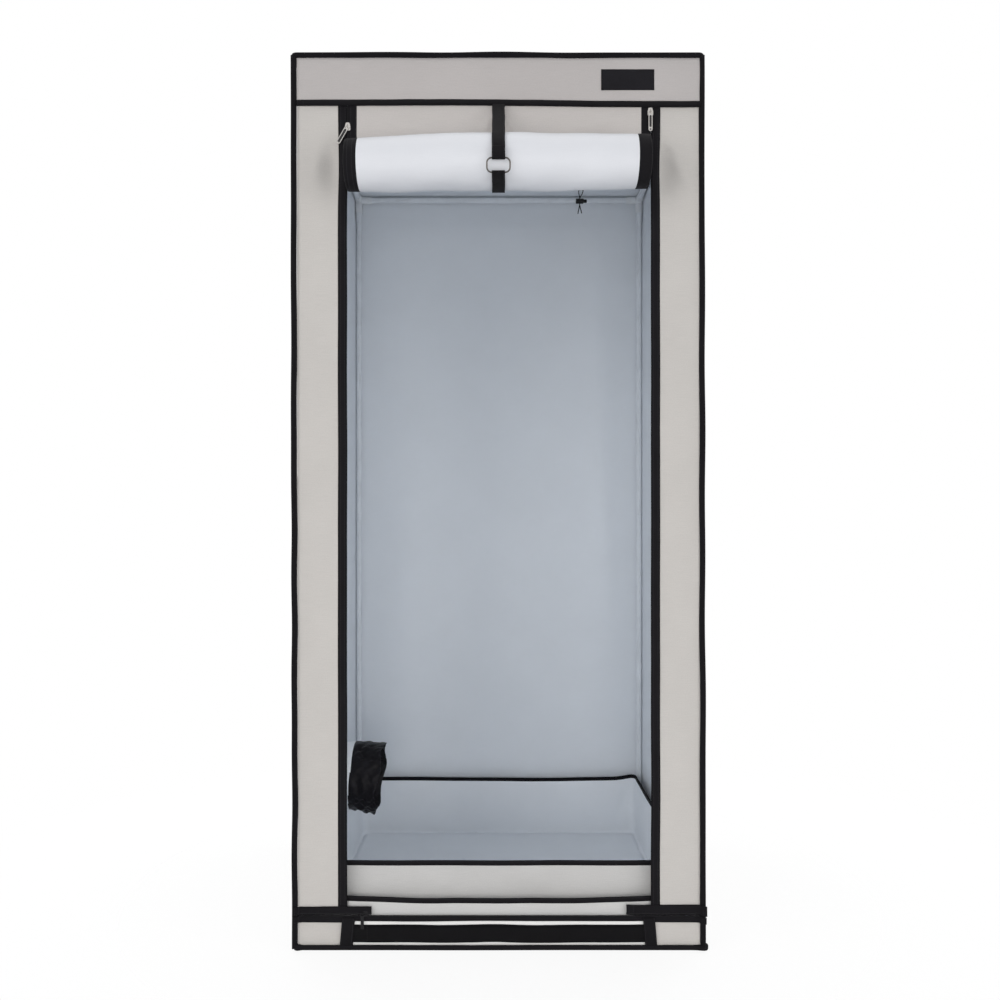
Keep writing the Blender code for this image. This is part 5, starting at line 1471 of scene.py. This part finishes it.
@dataclass(frozen=True)
class Door:
    """The door panel: flat behind the roll, then rolled towards the front with its white lining outside.

    On the roll, at turn t from 0 to the last: radius = R - pitch t and angle = 2 pi t, so a point is
    centre + radius (cos angle, -sin angle) in (y, z); R and the centre change a little across the width.
    """

    finishes: Finishes
    centre: Place = ROLL
    seam: float = 1.7865
    folds: tuple[Crease, ...] = (
        Crease(-0.026, 1.646, 62, 0.0070, 0.010, 0.032),
        Crease(0.020, 1.650, 118, 0.0070, 0.009, 0.030),
        Crease(-0.180, 1.650, 170, 0.0030, 0.012, 0.060),
        Crease(0.215, 1.660, 12, 0.0024, 0.010, 0.050),
    )
    radius: float = 0.0548
    pitch: float = 0.0051
    length: float = 1.473
    half_width: float = 0.2918
    offset: float = -0.0026
    flat_half: float = 0.3022
    tape: float = 0.0175
    rolled_tape: float = 0.0218
    tape_thick: float = 0.0027
    flat_rows: int = 34
    crowd: float = 1.35
    narrows: Place = (1.585, 1.630)
    leaves: Place = (1.57, 1.67)

    def middle(self, x: Array) -> tuple[Array, Array]:
        """The roll's centre (y, z) across the width: it sags by 6.4 mm towards its left end and waves by 0.6 mm."""
        sag = 0.0064 * soft_step(-x, 0.02, 0.30) + 0.0006 * np.sin(14 * x)
        return np.full_like(x, self.centre[0]), self.centre[1] - sag

    def outer(self, x: Array) -> Array:
        """The roll's radius across the width, 7% less at its right end and 9% at its left, where it is tighter."""
        return self.radius * (1 - (0.070 + 0.018 * (x < 0)) * np.abs(x / 0.29) ** 2.2)

    def surface(self) -> Array:
        """Works out the door's middle surface; between two heights it narrows, and between two it leaves the front.

        Returns:
            Its points (rows, columns, 3), rows from its top seam to its far end and columns to the right.
        """
        core = math.sqrt(self.radius**2 - self.length * self.pitch / math.pi)
        turns = (self.radius - core) / self.pitch
        flat = np.linspace(self.seam, self.centre[1] + 0.004, self.flat_rows)
        turn = np.linspace(0, turns, round(turns * 44))
        share = np.sin(np.linspace(-self.crowd, self.crowd, 120)) / math.sin(self.crowd)
        rolled_x = share * self.half_width + self.offset
        spread = soft_step(flat, *self.narrows)[:, None]
        x_flat = share * self.flat_half * spread + rolled_x * (1 - spread)
        z_flat = np.broadcast_to(flat[:, None], x_flat.shape)
        # Folds and ripples fade out where the roll starts and under the header.
        lift = ridges(self.folds, x_flat, z_flat) + Ripples(0.0010, 0.16, 81).at(x_flat, z_flat)
        lift = lift * soft_step(z_flat, 1.59, 1.63) * soft_step(-z_flat, -1.775, -1.73)
        centre_y, centre_z = self.middle(rolled_x)
        start_y = centre_y + self.outer(rolled_x)
        y_flat = FRONT_Y + (start_y - FRONT_Y) * (1 - soft_step(z_flat, *self.leaves)) - lift
        hung = np.stack([x_flat, y_flat, z_flat], 2)
        turn = turn[:, None]
        jitter = Ripples(0.0016, 0.20, 83).at(turn * 0.3, np.zeros_like(turn)) * np.abs(share) ** 8
        x = rolled_x + jitter * np.sign(share)
        s = np.broadcast_to(turn * 0.30, x.shape)
        rumple = Ripples(0.0004, 0.035, 85).at(x, s) * bell(x, -0.10, 0.12)
        rumple = (rumple + Ripples(0.0009, 0.11, 84, stretch=0.6).at(x, s)) * soft_step(turn, 0.0, 0.15)
        rumple = rumple * bell(turn, 0.3, 0.9)
        radius = self.outer(x) - self.pitch * turn + rumple
        angle = 2 * np.pi * turn
        rolled = np.stack([x, centre_y + radius * np.cos(angle), centre_z - radius * np.sin(angle)], 2)
        return np.concatenate([hung, rolled[1:]])

    def build(self) -> None:
        """Makes the door sheet, with its side tapes as black columns, and both coils along its edges."""
        points = self.surface()
        rows, columns = points.shape[:2]
        share = np.abs(points[0, :, 0]) / self.flat_half
        hung = (points[:, columns // 2, 2] > self.centre[1] + self.radius) & (np.arange(rows) < self.flat_rows)
        edge = 1 - np.where(hung, self.tape / self.flat_half, self.rolled_tape / self.half_width)[:, None]
        black = ((share[:-1] + share[1:]) / 2 > edge[:-1]).ravel()
        front, back = np.where(black, 2, 0), np.where(black, 2, 1)
        thickness = np.where(share > edge, self.tape_thick, CLOTH)
        # The door's back takes the lighter copy of the beige cloth: painted light against the recess's shade.
        cloths = [self.finishes.rolled, self.finishes.door_back, self.finishes.zip_tape]
        piece = sheet_piece("door_cloth", points, thickness, cloths, front, back)
        hand_over(piece, Slot.LINING, "door_panel")
        for side, column in ((Side.LEFT, 0), (Side.RIGHT, -1)):
            edge = smooth_line(points[::2, column], 0.004) + np.array([side.value * 0.0010, 0.0, 0.0])
            coil = coil_piece(f"door_coil_{side.label}", edge, (1, 0, 0), self.finishes.coil, 0.0028)
            hand_over(coil, Slot.BINDING)


@dataclass(frozen=True)
class Strap:
    """The upper and lower strap round the roll, each folded back round one long side of the oval ring.

    A strap's middle line is centre + r (cos angle, sin angle) in (y, z), with angles from +Y over the top and
    r = tight + (bar radius - fold - tight) bell(angle - bar angle, spread), so it hugs the roll and rises to the ring.
    """

    finishes: Finishes
    centre: Place = ROLL
    ring: Place = (-0.51824, 1.5302)
    ring_angle: float = 197.0
    tight: float = 0.0574
    x: float = -0.001
    width: float = 0.025
    thickness: float = 0.0016
    bar_offset: float = 0.0130
    fold: float = 0.0027
    spread: float = 16.0
    end: float = 0.020
    sewn: Place = (-0.4078, 1.6902)
    behind: tuple[Place, ...] = ((-0.4006, 1.6100), (-0.4006, 1.7030))

    def polar(self, place: Place) -> Place:
        """A place's radius and angle in degrees round the roll's centre."""
        y, z = place[0] - self.centre[0], place[1] - self.centre[1]
        return math.hypot(y, z), math.degrees(math.atan2(z, y)) % 360

    def bar(self, end: int) -> Place:
        """The place (y, z) of a long side of the ring: end 1 is the upper one and -1 the lower."""
        turn, off = math.radians(self.ring_angle - 90), end * self.bar_offset
        return self.ring[0] + off * math.cos(turn), self.ring[1] + off * math.sin(turn)

    def round_roll(self, start: float, end: float, bar: Place, extra: float, count: int) -> Array:
        """A line (y, z) round the roll that rises to a bar, moved out by an extra distance.

        Args:
            start: Its first angle in degrees.
            end: Its last angle.
            bar: The bar's radius and angle.
            extra: How far outside the first layer it lies.
            count: Its number of points.

        Returns:
            The line (count, 2).
        """
        degrees = np.linspace(start, end, count)
        radius = self.tight + (bar[0] - self.fold - self.tight) * bell(degrees, bar[1], self.spread) + extra
        angle = np.radians(degrees)
        return np.column_stack([self.centre[0] + radius * np.cos(angle), self.centre[1] + radius * np.sin(angle)])

    def turn_back(self, place: Place, start: float, end: float) -> Array:
        """The half turn (y, z) round a bar, from one angle to another in degrees."""
        angle = np.radians(np.linspace(start, end, 9)[1:-1])
        return np.column_stack([place[0] + self.fold * np.cos(angle), place[1] + self.fold * np.sin(angle)])

    def band(self, name: str, line: Array, node: str) -> None:
        """Carries the strap's flat section along a line and hands it over.

        Args:
            name: The piece's name.
            line: Its middle line (n, 2) in (y, z).
            node: The CAD node that it replaces.
        """
        s = lengths_along(line)
        places = np.linspace(0, s[-1], round(s[-1] / 0.0022))
        y, z = np.interp(places, s, line[:, 0]), np.interp(places, s, line[:, 1])
        across = np.linspace(-self.width / 2, self.width / 2, 7)
        wave = Ripples(0.0005, 0.09, 91).at(places, np.zeros_like(places))
        x = self.x + across[None, :] + wave[:, None]
        points = np.stack([x, np.broadcast_to(y[:, None], x.shape), np.broadcast_to(z[:, None], x.shape)], 2)
        piece = sheet_piece(name, points, self.thickness, [self.finishes.webbing])
        hand_over(piece, Slot.WEBBING, node)

    def build(self) -> None:
        """Makes both straps."""
        far, where = self.polar(self.sewn)
        tangent = where + math.degrees(math.acos(self.tight / far))
        back = math.degrees(self.end / self.tight)
        place = self.bar(1)
        upper = self.polar(place)
        line = [
            np.array([(self.sewn[0], self.sewn[1] + 0.004)]),
            self.round_roll(tangent, upper[1], upper, 0.0, 24),
            self.turn_back(place, upper[1] + 180, upper[1]),
            self.round_roll(upper[1], upper[1] - back, upper, 2 * self.fold, 8),
        ]
        self.band("strap_upper", np.vstack(line), "door_strap_upper")
        place = self.bar(-1)
        lower = self.polar(place)
        line = [
            self.round_roll(lower[1] + back, lower[1], lower, 2 * self.fold, 8),
            self.turn_back(place, lower[1], lower[1] - 180),
            self.round_roll(lower[1], 360, lower, 0.0, 40),
            np.array(self.behind),
        ]
        self.band("strap_lower", np.vstack(line), "door_strap_lower")


def collar_rim(port: float, angle: Array) -> tuple[Array, Array]:
    """A flat collar round a port, from its outer edge inwards: radius sin angle and radius cos angle.

    Args:
        port: The port's radius.
        angle: The angles (1, n).

    Returns:
        Both coordinates from the port's centre (4, n).
    """
    radius = port + COLLAR * np.linspace(1, 0.1, 4)[:, None]
    return radius * np.sin(angle), radius * np.cos(angle)


@dataclass(frozen=True)
class RoofSleeve:
    """The duct sleeve under the roof, sewn on with a flat collar and gathered by its drawstring.

    A point is centre + radius (cos angle, sin angle) with radius = r (1 + fold cos(6 angle) + crumple),
    where r and fold follow the table of shares down to the neck.
    """

    finishes: Finishes
    port: Point = ROOF_PORT
    neck: float = 0.0080
    neck_x: float = 0.2137
    drop: float = 0.048
    under_roof: float = 1.7838
    spokes: int = 144
    folds: int = 6
    table: tuple[Point, ...] = (
        (0, 1, 0), (0.16, 0.92, 0.02), (0.34, 0.76, 0.05), (0.58, 0.45, 0.12), (0.78, 0.19, 0.20), (0.90, 0.05, 0.22),
        (1, 0, 0.22),
    )

    def build(self) -> None:
        """Makes the sleeve; its white part shows between the black hems at the front."""
        x_middle, y_middle, port = self.port
        angle = np.linspace(0, 2 * np.pi, self.spokes, endpoint=False)[None, :]
        share = np.linspace(0, 1, 46)[:, None]
        depths, sizes, folds = np.array(self.table).T
        radius = self.neck + (port - self.neck) * np.interp(share, depths, sizes)
        crumple = Ripples(0.05, 0.9, 101).at(angle + 0 * share, share * 2) * np.sin(np.pi * share)
        fold = np.interp(share, depths, folds) * np.cos(self.folds * angle + 0.8 * share)
        reach = radius * (1 + fold + crumple)
        x = x_middle + (self.neck_x - x_middle) * share + reach * np.cos(angle)
        z = np.broadcast_to(self.under_roof - self.drop * share, reach.shape)
        sleeve = np.stack([x, y_middle + reach * np.sin(angle), z], 2)
        sine, cosine = collar_rim(port, angle)
        collar = np.stack([x_middle + cosine, y_middle + sine, np.full_like(sine, self.under_roof)], 2)
        points = np.concatenate([collar, sleeve])
        degrees = np.degrees(angle[0])
        # The white collar cloth shows in two gaps of the black hem, at the front left.
        hem = ((degrees > 203) & (degrees < 222)) | (degrees > 268) | (degrees < 150)
        index = np.tile(np.where(hem, 1, 0), len(points) - 1)
        index[: 6 * self.spokes] = 0
        cloths = [self.finishes.collar, self.finishes.sleeve]
        piece = sheet_piece("roof_sleeve_cloth", points, SLEEVE_CLOTH, cloths, index, index, around=True)
        hand_over(piece, Slot.SLEEVE, "roof_sleeve")


@dataclass(frozen=True)
class WallSleeve:
    """The limp duct sleeve that stands into the tent from the left wall: white at its root, black and crumpled beyond.

    A point is centre + along X + radius (sin angle, cos angle) in (y, z); the far end leans in at its top and droops.
    """

    finishes: Finishes
    wall: float = -0.4018
    port: Point = WALL_PORT
    reach: float = 0.120
    white: float = 0.054
    spokes: int = 200

    def build(self) -> None:
        """Makes the sleeve as one sheet from its flat collar to its far edge."""
        y_middle, z_middle, port = self.port
        angle = np.linspace(0, 2 * np.pi, self.spokes, endpoint=False)[None, :]
        share = np.linspace(0, 1, 70)[:, None]
        arc = angle * port + 0 * share
        along = share * self.reach + 0 * angle
        # Big soft lobes near the root, then folds and fine creases towards the free end, none of them at the seam.
        big = 0.0030 * np.sin(3 * angle + 2.0 * share) * soft_step(share, 0.15, 0.45)
        folds = Ripples(0.0036, 0.050, 111, stretch=0.55, count=11).at(arc, along) * soft_step(share, 0.40, 0.62)
        fine = Ripples(0.0013, 0.019, 112, stretch=0.8, count=11).at(arc, along) * soft_step(share, 0.45, 0.60)
        off_seam = 1 - bell(np.minimum(angle, 2 * np.pi - angle), 0.0, 0.25)
        radius = port - 0.0012 + 0.0040 * share + big + (folds + fine) * off_seam
        lean = 0.010 * share**2 * np.cos(angle) + 0.0035 * np.sin(5 * angle + 1.0) * share**3
        x = self.wall + along + lean
        z = z_middle + radius * np.cos(angle) - 0.006 * share**2
        sine, cosine = collar_rim(port, angle)
        collar = np.stack([np.full_like(sine, self.wall), y_middle + sine, z_middle + cosine], 2)
        points = np.concatenate([collar, np.stack([x, y_middle + radius * np.sin(angle), z], 2)])
        middle_x = (points[:-1, :, 0] + points[1:, :, 0]) / 2
        index = np.where(middle_x > self.wall + self.white + 0.006 * np.cos(angle + 0.3), 1, 0).ravel()
        cloths = [self.finishes.collar, self.finishes.sleeve]
        piece = sheet_piece("wall_sleeve_cloth", points, SLEEVE_CLOTH, cloths, index, index, around=True)
        hand_over(piece, Slot.SLEEVE, "wall_sleeve")


@dataclass(frozen=True)
class Tray:
    """The spill tray: coated cloth walls with soft corners, slack sides and a bound rim that dips and rises."""

    finishes: Finishes
    half: float = 0.3800
    radius: float = 0.0200
    low: float = 0.0023
    top: float = 0.1650
    coating: float = 0.0022
    rim: Place = (0.0048, 0.0106)

    def outline(self, inset: float) -> Array:
        """The tray's rounded outline, the same count of points at any inset."""
        return Bindings.loop(self.half - inset, self.radius - min(inset, 0.012), 0.0, Ripples(0.0, 1.0, 1))[:, :2]

    def rim_height(self, line: Array) -> Array:
        """The rim's height: waves, a dip at the rear, a rise at the front and a peak at the rear right corner.

        Args:
            line: An outline's points (n, 2).

        Returns:
            The rim's height above the floor at each point.
        """
        x, y = line[:, 0], line[:, 1]
        corner = bell(np.hypot(x - self.half, y - self.half), 0.0, 0.034)
        dip = bell(x, 0.0, 0.42) * soft_step(y, 0.30, 0.37)
        front = 0.0040 * soft_step(-y, 0.34, 0.375)
        return self.top + front + Ripples(0.0010, 0.30, 121).at(x, y) + 0.0065 * corner - 0.0085 * dip

    def build(self) -> None:
        """Makes the tray's floor, its walls and its rim."""
        # The first rows round the walls off into the floor; the others rise straight to the rim.
        inset = np.array([0.0120, 0.0075, 0.0035, 0.0010, *np.zeros(26)])
        share = np.concatenate([[0.0, 0.002, 0.010, 0.022], np.linspace(0.035, 1.0, 26)])
        base = self.low + 0.0012
        rows = []
        for step, up in zip(inset, share):
            line = self.outline(step)
            height = base + (self.rim_height(line) - base) * up
            flat_share = np.minimum(np.abs(line).min(axis=1) / 0.34, 1)
            slack = 0.0030 * 4 * up * (1 - up) * (1 - flat_share**4)
            s = lengths_along(line)
            wrinkles = 0.0022 * np.sin(95 * s + 60 * height) * self.near_corner(line)
            uneven = Ripples(0.0016, 0.14, 122).at(s, height) + wrinkles
            push = (slack + uneven * math.sin(math.pi * min(1.0, float(up) * 1.02)) * 0.8)[:, None]
            outward = unit(line * (np.abs(line) >= np.abs(line).max(axis=1, keepdims=True) - 0.004))
            rows.append(np.column_stack([line - outward * push, height]))
        walls = np.stack(rows)
        cloths = [self.finishes.tray_back, self.finishes.tray]
        piece = sheet_piece("tray_walls", walls, self.coating, cloths, 0, 1, around=True)
        hand_over(piece, Slot.TRAY, "spill_tray")
        places = np.linspace(-self.half + 0.006, self.half - 0.006, 60)
        x, y = np.meshgrid(places, places)
        points = np.stack([x, y, self.low + 0.0013 + np.abs(Ripples(0.0008, 0.16, 123).at(x, y))], 2)
        floor = sheet_piece("tray_floor_cloth", points, self.coating, [self.finishes.tray, self.finishes.shell], 0, 1)
        hand_over(floor, Slot.TRAY)
        edge = walls[-1] + np.array([0.0, 0.0, -0.0034])
        up, outward = frames_along(edge, UPWARD, closed=True)
        section = round_profile(*self.rim, 14, 0.7)
        bound = tube_piece("tray_rim", edge, outward, up, section, self.finishes.hem, closed=True)
        hand_over(bound, Slot.BINDING)

    def near_corner(self, line: Array) -> Array:
        """1 at the rear right corner, fading over 60 mm."""
        return bell(np.hypot(line[:, 0] - self.half, line[:, 1] - self.half), 0.0, 0.06)


def main() -> None:
    """Builds the tent's look, piece by piece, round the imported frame."""
    logging.basicConfig(level=logging.INFO, format="%(name)s: %(message)s")
    finishes = Finishes()
    Studio().build()
    for part in (Drawstring, Hardware, Cover, FrontWall, Bindings, Zips, Door, Strap, RoofSleeve, WallSleeve, Tray):
        LOG.info("%s", part.__name__)
        part(finishes).build()


if __name__ == "__main__":
    main()
